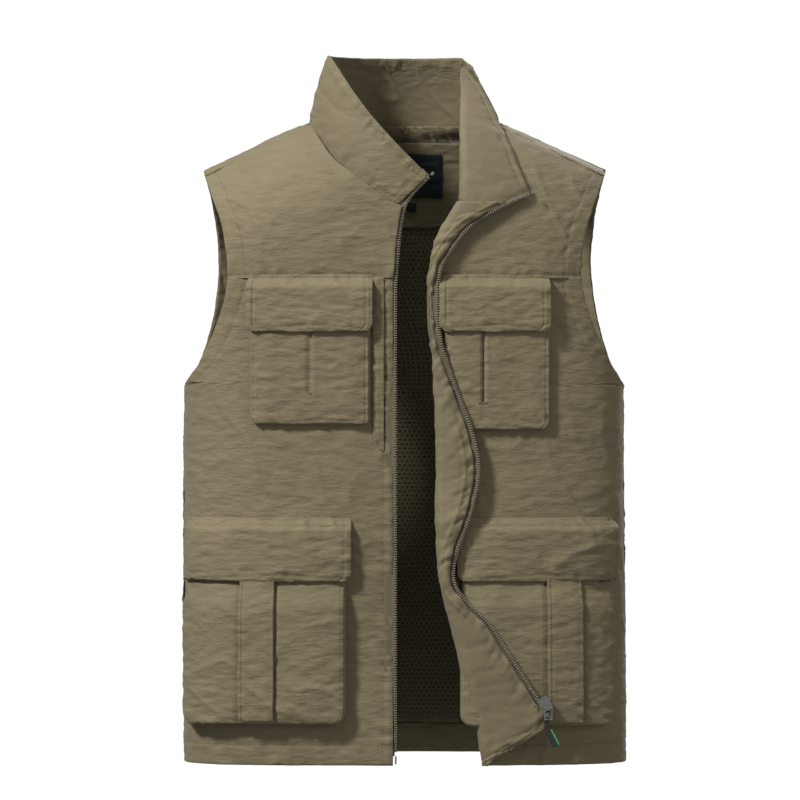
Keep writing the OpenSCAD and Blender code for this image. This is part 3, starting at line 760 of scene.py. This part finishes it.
def lower_pocket(word, body, seed):
    low, high = node_box(f"lower_pocket_{word}")
    x0, x1, top, bottom = low[0], high[0], high[2], low[2]
    if word == "left":
        x0 = 60.0
    full = 15.0
    grid = patch_grid(x0, x1, top, bottom, 14, 14, 110, 96)
    d = distances(grid)
    deep = 6.0 + (full - 6.0) * ease((top - grid[..., 2] - 55) / 40)
    h = 0.8 + lift_of(d, 1.0, 5) * deep + crinkle(grid, FRONT_SEED[word]) + 0.3 * crinkle(grid, seed)
    puff = ease(np.minimum(np.minimum(d["left"], d["right"]), d["bottom"]) / 34)
    h += 2.2 * puff * (0.6 + 0.4 * noise(grid[..., 0] / 50, grid[..., 2] / 50, seed + 7))
    low_s, high_s = node_box(f"lower_strap_{word}")
    for x in (low_s[0] - 1, high_s[0] + 1):
        h += groove(grid, x, top, bottom + 2, 2.4, 1.5)
    h += side_seams(d, 5, 0.5, 1.2, 0.4, 8, 8, seed + 1)
    h += seam(d, "bottom", 5, 0.6, 1.2, 0.5, 8, 8, seed + 3)
    cloth(f"lower_pocket_{word}", grid, FRONT, "shell_cloth", thick=1.0, height=h,
          seams=[("left", 4.5, 0, 0.98), ("right", 4.5, 0, 0.98), ("bottom", 4.5, 0.02, 0.98)], body=body,
          fade_sides=True)
    zs = np.linspace(top - 40, bottom + 4, 80)
    strap = body_grid(zs, low_s[0], high_s[0], 22, -1)
    sd = distances(strap)
    deep = 6.0 + (full - 6.0) * ease((top - strap[..., 2] - 55) / 40)
    to_end = np.clip((strap[..., 2] - bottom) / 5, 0, 1)
    sh = deep * np.sqrt(np.clip(1 - (1 - to_end) ** 2, 0, 1)) + 2.2 + 1.6
    sh += crinkle(strap, FRONT_SEED[word]) + 0.3 * crinkle(strap, seed) + 0.8
    sh += 2.0 * 0.6 * ease((strap[..., 2] - bottom) / 34)
    sh += side_seams(sd, 3.5, 0.35, 1.0, 0.3, 5, 7, seed + 5)
    cloth(f"lower_strap_{word}", strap, FRONT, "shell_cloth", thick=1.4, height=sh,
          seams=[("left", 2.5, 0, 1), ("right", 2.5, 0, 1)], body=body)


def flap(kind, word, body, hinge_body, seed):
    """A pocket flap: sewn to the front along its top, with the ledge of its seam."""
    low, high = node_box(f"{kind}_flap_{word}")
    x0, x1, top, bottom = low[0], high[0], high[2] + 6, low[2]
    if (kind, word) == ("lower", "left"):
        x0 = 57.0
    if (kind, word) == ("chest", "left"):
        x0 = 38.0
    inner_r, outer_r = {"chest": (10, 10), "lower": (10, 5)}[kind]
    r0, r1 = (outer_r, inner_r) if word == "right" else (inner_r, outer_r)
    grid = patch_grid(x0, x1, top, bottom, r0, r1, 44, 88)
    d = distances(grid)
    stand = 12.5 if kind == "chest" else 11.5
    h = 1.2 + (stand - 1.2) * ease(d["top"] / 14)
    h += 1.2 * ease(d["top"] / 60) + crinkle(grid, FRONT_SEED[word]) + 0.3 * crinkle(grid, seed)
    near = np.minimum(np.minimum(d["left"], d["right"]), d["bottom"])
    h -= 0.9 * (1 - ease(near / 5))
    h += seam(d, "bottom", 7, 0.55, 1.2, 0.4, 7, 8, seed + 1)
    h += side_seams(d, 7, 0.45, 1.2, 0.3, 7, 8, seed + 2)
    h += seam(d, "top", 7 if kind == "lower" else 3, 0.7, 1.3, 0.45, 8, 8, seed + 4)
    z_top = top * MM
    cloth(f"{kind}_flap_{word}", grid, FRONT, "shell_cloth", thick=1.9, height=h,
          seams=[("bottom", 6.5, 0.06, 0.94), ("left", 6.5, 0.1, 0.9), ("right", 6.5, 0.1, 0.9),
                 ("top", 8 if kind == "lower" else 3, 0, 1)],
          blend=(body, hinge_body, (0, -0.1, z_top - 0.002), (0, -0.1, z_top - 0.016)),
          fade_sides=True)


def fastener(kind, word, part, body):
    """One half of a hook-and-loop fastener: a woven tape with a field of short pile."""
    low, high = node_box(f"{kind}_{part}_tape_{word}")
    zs = np.linspace(high[2], low[2], 18)
    grid = body_grid(zs, low[0], high[0], 90, -1)
    depth = -low[1] - HALF_D if low[0] > -142 and high[0] < 142 else {"loop": 7.3, "hook": 8.4}[part]
    pile = 0.22 * lattice(*np.meshgrid(np.arange(90.0), np.arange(18.0)), 7 if part == "loop" else 8)
    cloth(f"{kind}_{part}_tape_{word}", grid, FRONT, "hook_and_loop", thick=0.5,
          height=pile + depth, seams=[(edge, 1.5, 0, 1) for edge in ("left", "right", "top")], body=body)


# ---- Collar ----
LEAN = 0.2
COLLAR_H = 67.0


def cone_point(x, z, front, off=0.0):
    """A point of the leaning ring round the neck."""
    s = 1 - LEAN * z / COLLAR_H
    a, b = NECK_X * s - off, 90 * s - off
    y = -HALF_D + 90 * s + (-1 if front else 1) * b * np.sqrt(np.clip(1 - (x / a) ** 2, 0, 1))
    return y


def resample(points, count):
    p = np.asarray(points, float)
    run = np.concatenate([[0], np.cumsum(np.linalg.norm(np.diff(p, axis=0), axis=1))])
    at = np.linspace(0, run[-1], count)
    return np.stack([np.interp(at, run, p[:, k]) for k in range(p.shape[1])], -1)


def collar_curves():
    """The stand collar's lower and upper edges, from the right front's point round to the left side."""
    seam_front = smooth_path([(-7, -93), (-26, -83), (-59, -58), (-80, -40), (-97, -18), (-104, -2)])
    top_front = smooth_path([(25, -62), (-5, -32), (-32, -2), (-64, 36), (-80, 60), (-84, 66)])
    lower = [(x, cone_point(x, z, True), z) for x, z in seam_front]
    upper = [(x, cone_point(x, z, True, 1.0), z) for x, z in top_front]
    for a in np.linspace(math.radians(176), math.radians(4), 40):
        lower.append((NECK_X * math.cos(a), -10 + 88 * math.sin(a), -1.0 - 4.0 * math.sin(a)))
    s = 1 - LEAN * 66 / COLLAR_H
    for a in np.linspace(math.radians(172), math.radians(40), 34):
        upper.append((84.3 * math.cos(a), -HALF_D + 90 * s + 72.3 * math.sin(a), 66 + 1.5 * math.sin(a)))
    upper += [(76, 6, 55), (92, -4, 26), (100, -8, 6)]
    upper = np.array(upper)
    upper[:, 2] += 7 * ease(upper[:, 2] / 50)
    return np.array(lower), upper


def match(curve, marks, count):
    """Points of a curve, spaced so that its marked points fall at even shares."""
    run = np.concatenate([[0], np.cumsum(np.linalg.norm(np.diff(curve, axis=0), axis=1))])
    shares = np.interp(np.linspace(0, 1, count), [m[0] for m in marks], [run[m[1]] for m in marks])
    return np.stack([np.interp(shares, run, curve[:, k]) for k in range(3)], -1)


def collar_stand():
    lower, upper = collar_curves()
    front_low, front_up = 41, 41
    marks_low = [(0, 0), (0.36, front_low), (1, len(lower) - 1)]
    marks_up = [(0, 0), (0.36, front_up), (0.9, len(upper) - 4), (1, len(upper) - 1)]
    count = 240
    a, b = match(lower, marks_low, count), match(upper, marks_up, count)
    rows = 34
    t = np.linspace(0, 1, rows)[:, None, None]
    grid = b[None] * (1 - t) + a[None] * t
    centre = np.array([0, -20, 0])
    out = grid - centre
    out[..., 2] = 0
    out /= np.maximum(np.linalg.norm(out, axis=-1, keepdims=True), 1)
    grid = grid + out * (3.0 * np.sin(math.pi * t))
    normal = normals_of(grid, (0, 0, 0))
    if (normal * out).sum(-1).mean() < 0:
        normal = -normal
    d = distances(grid)
    h = 0.5 * crinkle(grid, 81) + seam(d, "top", 7, 0.6, 1.3, 0.45, 8, 8, 82)
    h = h + seam(d, "bottom", 5, 0.6, 1.3, 0.5, 8, 8, 83)
    h += seam(d, "left", 9, 0.6, 1.3, 0.35, 7, 8, 84)
    outer = grid + normal * h[..., None]
    stitch = []
    for edge, inset in (("top", 6.5), ("bottom", 4), ("left", 9)):
        chunk = stitch_chunk(*seam_line(outer, normal, d, edge, inset), 1)
        stitch.append(chunk)
    obj = build_mesh("collar_outer", [thick_chunk(outer, normal, 1.3, 0)] + stitch)
    for mat in (SHELL, THREAD):
        obj.data.materials.append(mat)
    attach(obj, None, upper_blend("right_front"), ("collar_outer",))
    declare_sheet(grid)
    g = 0.6 * crinkle(grid, 86) + seam(d, "top", 7, 0.5, 1.3, 0.45, 8, 8, 87)
    g += 0.9 * np.exp(-(d["bottom"] / 14) ** 2) * noise(d["left"] / 7, d["bottom"] / 30, 88)
    inside = grid - normal * (1.7 + g)[..., None]
    stitch = [stitch_chunk(*seam_line(inside, -normal, d, "top", 6.5), 1)]
    obj = build_mesh("collar_lining", [thick_chunk(inside, -normal, -1.0 * -1.0, 0)] + stitch)
    for mat in (INNER, THREAD):
        obj.data.materials.append(mat)
    attach(obj, None, upper_blend("right_front"), ("collar_lining",))
    declare_sheet(grid)


def lapel_y(x, z):
    """The depth of the turned-out collar: over the shoulder, and up to the stand behind."""
    ridge = -(np.abs(x) - NECK_X) * math.tan(SLOPE)
    t = z - ridge
    low = -depth_at(x, np.minimum(z, ridge - 8)) - 9
    return np.where(t < -8, low, low + 1.1 * (t + 8))


def lapel():
    fold = smooth_path([(64, 65), (62, 46), (60, 0), (60, -40), (60, -78), (60, -90), (70, -109)])
    outer = smooth_path([(66, 66), (77, 54), (92, 25), (103, 0), (120, -42), (132, -72), (136, -80)])
    lower = smooth_path([(136, -80), (118, -89), (103, -96), (71, -109.5)])
    zs = np.linspace(64, -108, 96)
    left = x_at(fold, zs)
    right = np.where(zs > -80, x_at(outer, zs), x_at(lower, zs))
    right = np.maximum(right, left + 2.0)
    cols = 44
    share = np.linspace(0, 1, cols)
    x = left[:, None] + (right - left)[:, None] * share[None]
    z = np.repeat(zs[:, None], cols, 1)
    y = lapel_y(x, z) - 2.5 * np.sin(math.pi * share)[None] * ease((60 - z) / 30)
    roll = 8 * (1 - np.sqrt(np.clip(1 - (1 - np.clip((x - left[:, None]) / 9, 0, 1)) ** 2, 0, 1)))
    grid = np.stack([x, y + roll * ease((50 - z) / 30), z], -1)
    normal = normals_of(grid, FRONT)
    d = distances(grid)
    h = 0.5 * crinkle(grid, 91) + seam(d, "right", 7, 0.6, 1.3, 0.4, 8, 8, 92)
    h += seam(d, "bottom", 5, 0.5, 1.3, 0.4, 6, 8, 93)
    blend = upper_blend("left_front")
    cloth("collar_lapel_lining", grid, FRONT, "inner_cloth", thick=1.0, height=h,
          seams=[("right", 6.5, 0.02, 0.8), ("bottom", 6, 0, 1)], blend=blend, replaces=())
    under = grid - normal * 1.6
    cloth("collar_lapel_outer", under, FRONT, "shell_cloth", thick=1.0, height=h, blend=blend,
          replaces=())


# ---- Inside ----
def inner_piece(name, slot, zs, left, right, side, off, cols, seed, body="root", blend=None, replaces=None,
                seams=(), size=0.4, extra=None, thick=0.8):
    grid = body_grid(zs, left, right, cols, side)
    normal = normals_of(grid, (0, side, 0))
    inside = grid - normal * off
    d = distances(inside)
    h = size * crinkle(inside, seed)
    if extra is not None:
        h = h + extra(d)
    return cloth(name, inside, (0, -side, 0), slot, thick=thick, height=h, seams=seams, body=body,
                 blend=blend, replaces=replaces)


def interior():
    zs = np.linspace(3, -16, 14)
    inner_piece("neck_band", "shell_cloth", zs, -94, 94, 1, 4.0, 150, 101,
                seams=[("bottom", 1.5, 0, 1)],
                extra=lambda d: (1.2 * noise(d["left"] / 5, d["top"] / 18, 102)
                                 + 1.2 * np.sin(math.pi * d["top"] / 14)))
    zs = np.linspace(-14, -111, 60)
    half = np.interp(zs, [-111, -108, -100, -85, -14], [20, 52, 74, 92, 94])
    inner_piece("neck_facing", "inner_cloth", zs, -half, half, 1, 7.5, 120, BACK_SEED, size=-1.0,
                seams=[("bottom", 2.5, 0, 1)],
                extra=lambda d: seam(d, "bottom", 3, 0.4, 1.2, 0.5, 9, 8, 104))
    low, high = node_box("neck_label")
    zs = np.linspace(high[2], low[2], 40)
    inner_piece("neck_label", "label_cloth", zs, low[0], high[0], 1, 9.6, 50, BACK_SEED,
                size=-1.0, seams=[(e, 1.2, 0, 1) for e in ("left", "right", "top", "bottom")],
                extra=lambda d: -0.5 * ((np.minimum(np.minimum(d["left"], d["right"]),
                                                    np.minimum(d["top"], d["bottom"])) < 2.6) * 1.0))
    low, high = node_box("size_tab")
    zs = np.linspace(high[2], low[2], 10)
    inner_piece("size_tab", "label_cloth", zs, low[0], high[0], 1, 9.8, 10, BACK_SEED,
                size=-1.0)
    zs = np.linspace(-669, HEM_Z + 1, 14)
    inner_piece("back_hem_facing", "shell_cloth", zs, -HALF_W + 3, HALF_W - 3, 1,
                3.4, 180, BACK_SEED, size=-1.0, seams=[("top", 2, 0, 1)],
                extra=lambda d: seam(d, "top", 3, 0.4, 1.2, 0.5, 8, 8, 108))
    for word, side, front in (("right", -1, "right_front"), ("left", 1, "left_front")):
        zs = np.linspace(-60, -300, 80)
        edge = np.where(zs < -289, HALF_W, -x_at(arm_back, zs))
        wide = np.where(zs < -280, edge - 26, edge - 20)
        left, right = (wide, edge) if side > 0 else (-edge, -wide)
        inner_piece(f"armhole_facing_{word}", "inner_cloth", zs, left, right, 1, 3.4, 12, BACK_SEED,
                    size=-1.0)
        zs = np.linspace(-60, YOKE_Z, 40)
        edge = -x_at(arm_front, zs)
        left, right = (edge - 20, edge) if side > 0 else (-edge, -(edge - 20))
        inner_piece(f"armhole_facing_front_{word}", "inner_cloth", zs, left, right, -1, 3.6, 12,
                    YOKE_SEED[word], size=-0.8, blend=upper_blend(front),
                    replaces=(f"armhole_facing_{word}",))
        zs = np.linspace(YOKE_Z - 3, HEM_Z + HEM_H + 1, 120)
        edge = np.where(zs < -289, HALF_W - 2, -x_at(arm_front, zs) - 2)
        start = 60 if word == "right" else x_at(fold_left, zs) + 34
        left, right = (start, edge) if side > 0 else (-edge, -start)
        inner_piece(f"front_lining_{word}", "mesh_cloth", zs, left, right, -1, 5.5, 50, FRONT_SEED[word],
                    body=front, size=-1.0)
    zs = np.linspace(YOKE_Z - 2, HEM_Z + 2, 150)
    inner_piece("front_facing_right", "inner_cloth", zs, -70, -15, -1, 5.0, 22,
                FRONT_SEED["right"], body="right_front", size=-1.0, seams=[("left", 3, 0, 1)])
    zs = np.linspace(-190, -350, 40)
    inner_piece("hidden_pocket_bag", "inner_cloth", zs, -158, -74, -1, 8.5, 26,
                FRONT_SEED["right"], body="right_front", size=-1.0,
                seams=[("bottom", 4, 0, 1), ("left", 4, 0, 1)])


def mesh_lining_back():
    """Warp-knit lining with real holes: a staggered net of cells, each with an eight-sided hole."""
    pitch, row_h = 5.6, 4.8
    top, bottom = -107.0, -666.0
    count = int((top - bottom) / row_h)
    verts, faces, base = [], [], 0
    ring = np.linspace(0, 2 * math.pi, 8, endpoint=False) + math.pi / 8
    for k in range(count):
        z = top - (k + 0.5) * row_h
        edge = HALF_W - 3 if z < -300 else -float(x_at(arm_back, np.array(z))) - 22
        edge = min(edge, 90.0) if z > -121 else edge
        reach = float(girth_of(edge))
        shift = pitch / 2 * (k % 2)
        g = np.arange(-reach + shift, reach - pitch, pitch) + pitch / 2
        box = np.array([(0.5, 0.2), (0.2, 0.5), (-0.2, 0.5), (-0.5, 0.2),
                        (-0.5, -0.2), (-0.2, -0.5), (0.2, -0.5), (0.5, -0.2)])
        corner = np.array([(0.5, 0.5), (-0.5, 0.5), (-0.5, -0.5), (0.5, -0.5)])
        hole = np.stack([np.cos(ring), np.sin(ring)], -1) * 1.15
        for kind, pts in (("o", box * (pitch, row_h)), ("h", hole), ("c", corner * (pitch, row_h))):
            verts.append(np.stack([g[:, None] + pts[None, :, 0],
                                   np.full((len(g), len(pts)), z) + pts[None, :, 1],
                                   np.full((len(g), len(pts)), 0.5 if kind == "h" else 0.0)], -1))
        cell = np.concatenate(verts[-3:], 1)
        verts = verts[:-3] + [cell.reshape(-1, 3)]
        f = [[i, (i + 1) % 8, 8 + (i + 1) % 8, 8 + i] for i in range(8)]
        tri = [[16, 1, 0], [17, 3, 2], [18, 5, 4], [19, 7, 6]]
        n = np.arange(len(g))[:, None, None] * 20 + base
        faces.append(((np.array(f)[None] + n).reshape(-1, 4), (np.array(tri)[None] + n).reshape(-1, 3)))
        base += len(g) * 20
    flat = np.concatenate(verts)
    girth, z, dip = flat[:, 0], flat[:, 1], flat[:, 2]
    x = np.sign(girth) * np.interp(np.abs(girth), _len, _px)
    y = np.interp(np.abs(girth), _len, _py) * arch(x, z)
    sag = 2.0 * noise(girth / 60, z / 90, 141) + 1.0 * noise(girth / 25, z / 60, 142)
    scale = 1 - (5.0 + dip * 0.6 + sag) / HALF_D
    points = np.stack([x * (1 - (1 - scale) * 0.4), y * scale, z], -1)
    obj_faces = [f.tolist() for pair in faces for f in pair]
    mesh = bpy.data.meshes.new("mesh_lining_back")
    mesh.from_pydata((points * MM).tolist(), [], [f for group in obj_faces for f in group])
    mesh.polygons.foreach_set("use_smooth", [True] * len(mesh.polygons))
    mesh.update()
    obj = bpy.data.objects.new("vest_mesh_lining_back", mesh)
    bpy.context.scene.collection.objects.link(obj)
    obj.data.materials.append(MESH)
    attach(obj, "root", None, ("mesh_lining_back",))


# ---- Zipper ----
def path_points(path, y_of, step=1.0):
    p = resample(path, int(np.linalg.norm(np.diff(path, axis=0), axis=1).sum() / step) + 2)
    return np.stack([p[:, 0], np.array([y_of(x, z) for x, z in p]), p[:, 1]], -1)


def tooth_shape():
    """A moulded tooth with a rounded head and bevelled edges, as rings along its length."""
    rings = []
    stations = ((-0.25, 0.9, 0.8), (0.15, 1.0, 1.0), (0.55, 0.72, 0.95), (0.82, 1.0, 0.95), (1.0, 0.6, 0.6))
    for at, wide, tall in stations:
        ring = []
        for a in np.linspace(0, 2 * math.pi, 8, endpoint=False) + math.pi / 8:
            c, s = math.cos(a), math.sin(a)
            ring.append((at, 0.5 * wide * np.sign(c) * abs(c) ** 0.6,
                         0.5 * tall * np.sign(s) * abs(s) ** 0.6))
        rings.append(ring)
    verts = np.array([v for ring in rings for v in ring])
    faces = [[8 * r + i, 8 * r + (i + 1) % 8, 8 * (r + 1) + (i + 1) % 8, 8 * (r + 1) + i]
             for r in range(len(rings) - 1) for i in range(8)]
    caps = [[7 - i for i in range(8)], [8 * (len(rings) - 1) + i for i in range(8)]]
    for a, b, c, d in ((0, 1, 2, 3), (0, 3, 4, 7), (4, 5, 6, 7)):
        faces += [[cap[a], cap[b], cap[c], cap[d]] for cap in caps]
    return verts, faces


def zipper(word, path, side, body, nodes_tape, nodes_teeth, y_of, tape_w):
    """A tape with its cord edge and a row of teeth. side is the way that the teeth point in x."""
    pts = path_points(path, y_of)
    along = np.gradient(pts, axis=0)
    along /= np.linalg.norm(along, axis=1, keepdims=True)
    up = np.repeat(np.array([[0, -1.0, 0]]), len(pts), 0)
    across = np.cross(along, up)
    across *= np.sign(across[len(across) // 2, 0]) * side
    up = np.cross(across, along) * np.sign(np.cross(across, along)[:, 1:2]) * -1
    blend = upper_blend(body)
    offsets = np.array([-tape_w, -tape_w * 0.66, -tape_w * 0.33, -1.6, -1.2, -0.7, -0.2, 0.2])
    bulge = np.array([0, 0, 0, 0.1, 0.7, 0.9, 0.6, 0.1])
    grid = (pts[:, None] + across[:, None] * offsets[None, :, None]
            + up[:, None] * (bulge - 1.0)[None, :, None])
    normal = normals_of(grid, FRONT)
    chunk = thick_chunk(grid, normal, 0.7, 0)
    stitches = stitch_chunk(pts + across * -1.4 + up * 0.1, up, 1, 2.4, 1.8, 0.4)
    tape = build_mesh(f"zip_tape_{word}", [chunk, stitches])
    tape.data.materials.append(TAPE)
    tape.data.materials.append(THREAD)
    attach(tape, None, blend, nodes_tape)
    declare_sheet(grid)
    run = np.concatenate([[0], np.cumsum(np.linalg.norm(np.diff(pts, axis=0), axis=1))])
    pitch = 2.6
    at = np.arange(pitch, run[-1] - pitch, pitch)
    pick = [np.stack([np.interp(at, run, a[:, k]) for k in range(3)], -1) for a in (pts, across, along, up)]
    shape, faces = tooth_shape()
    verts = (pick[0][:, None] + pick[1][:, None] * (shape[None, :, :1] * 3.0 - 0.2)
             + pick[2][:, None] * shape[None, :, 1:2] * 1.55 + pick[3][:, None] * shape[None, :, 2:3] * 2.3)
    faces = (np.arange(len(at))[:, None, None] * len(shape) + np.array(faces)[None]).reshape(-1, 4)
    teeth = build_mesh(f"zip_teeth_{word}", [(verts.reshape(-1, 3), faces, 0)])
    teeth.data.materials.append(TEETH)
    attach(teeth, None, blend, nodes_teeth)


def right_zip_y(x, z):
    return float(-depth_at(x, z)) if z < -93 else float(cone_point(x, z, True, 0.5))


def left_zip_y(x, z):
    return -(float(depth_at(x, z)) + float(proud(z)) + 0.2)


# ---- Small parts ----
def hidden_welt():
    """The facing of the upright pocket beside the placket, with its curved lower end."""
    low, high = node_box("hidden_pocket_welt")
    zs = np.linspace(high[2], low[2], 90)
    bend = np.clip((low[2] + 34 - zs) / 34, 0, 1)
    left = low[0] + (high[0] - low[0] - 2.5) * (1 - np.sqrt(np.clip(1 - bend ** 2, 0, 1)))
    grid = body_grid(zs, left, high[0], 16, -1)
    d = distances(grid)
    h = 0.9 + 1.5 * np.clip(d["left"] / 2, 0.1, 1) + crinkle(grid, FRONT_SEED["right"])
    h = h + seam(d, "left", 3, 0.4, 1.0, 0.4, 5, 7, 152)
    cloth("hidden_pocket_welt", grid, FRONT, "shell_cloth", thick=1.0, height=h,
          seams=[("left", 2.2, 0, 1)], body="right_front")


def bar_tacks(word, body):
    """Dense zigzag stitching where the pleats and pocket mouths end."""
    low, high = node_box(f"bar_tacks_{word}")
    chest_x = {"right": -102.0, "left": 85.0}[word]
    places = [(chest_x, high[2] - 0.8, 10.0)]
    lower = node_box(f"lower_pocket_{word}")
    outer = lower[0][0] if word == "right" else lower[1][0]
    sign = 1 if word == "right" else -1
    places.append((outer + sign * 8, low[2] - 32, 6.0))
    chunks = []
    for x, z, w in places:
        lift = 9.4 if z > -400 else 9.0
        span = np.linspace(x - w / 2, x + w / 2, 26)
        wave = z + 0.9 * np.where(np.arange(26) % 2 == 0, 1, -1)
        pts = np.stack([span, -(depth_at(span, np.full(26, z)) + lift), wave], -1)
        up = np.repeat(np.array([[0, -1.0, 0]]), 26, 0)
        side = np.repeat(np.array([[0, 0, 1.0]]), 26, 0)
        ring = [pts + side * 0.28 * math.cos(a) + up * (0.28 * math.sin(a) + 0.1)
                for a in np.linspace(0, 2 * math.pi, 7)]
        grid = np.array(ring)
        chunks.append((grid.reshape(-1, 3), quads(7, 26), 0))
    obj = build_mesh(f"bar_tacks_{word}", chunks)
    obj.data.materials.append(THREAD)
    attach(obj, body, None, (f"bar_tacks_{word}",))


def finish_node(node, mat):
    """Gives a carried-over hard part its material."""
    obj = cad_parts[node]
    obj.data.materials.clear()
    obj.data.materials.append(mat)


# ---- Run ----
add_camera()
add_light("key", "AREA", (-2.3, -2.1, 2.2), (0, 0, -0.35), 185, 0.6)
add_light("fill", "AREA", (2.4, -3.0, 0.2), (0, 0, -0.35), 22, 2.6)
add_light("top", "AREA", (0, -0.3, 2.6), (0, 0, -0.3), 26, 1.6)
add_light("back", "AREA", (1.6, 3.0, 1.2), (0, 0, -0.35), 60, 1.2)
add_world()
bpy.context.scene.view_settings.view_transform = "Standard"

front_panel_right()
front_panel_left()
front_yoke_right()
front_yoke_left()
back_panel()
front_facing_left()
for seed, word in ((200, "right"), (300, "left")):
    front = f"{word}_front"
    chest_pocket(word, front, seed)
    lower_pocket(word, front, seed + 20)
    flap("chest", word, front, f"{word}_chest_flap", seed + 40)
    flap("lower", word, front, f"{word}_lower_flap", seed + 60)
    for kind in ("chest", "lower"):
        fastener(kind, word, "loop", front)
        fastener(kind, word, "hook", f"{word}_{kind}_flap")
    bar_tacks(word, front)
collar_stand()
lapel()
interior()
mesh_lining_back()
zipper("right", zip_right, 1, "right_front", ("zip_tape_right", "zip_tape_right_upper"),
       ("zip_teeth_right", "zip_teeth_right_upper"), right_zip_y, 10.6)
zipper("left", zip_left, 1, "left_front", ("zip_tape_left", "zip_tape_left_upper"),
       ("zip_teeth_left", "zip_teeth_left_upper"), left_zip_y, 10.6)
for node, mat in (("zip_slider", METAL), ("pull_link", METAL), ("zip_retainer_box", METAL),
                  ("zip_top_stops", METAL), ("zip_insertion_pin", METAL), ("pull_cord", RUBBER),
                  ("pull_grip", RUBBER), ("grip_stripe", ACCENT)):
    finish_node(node, mat)
hidden_welt()
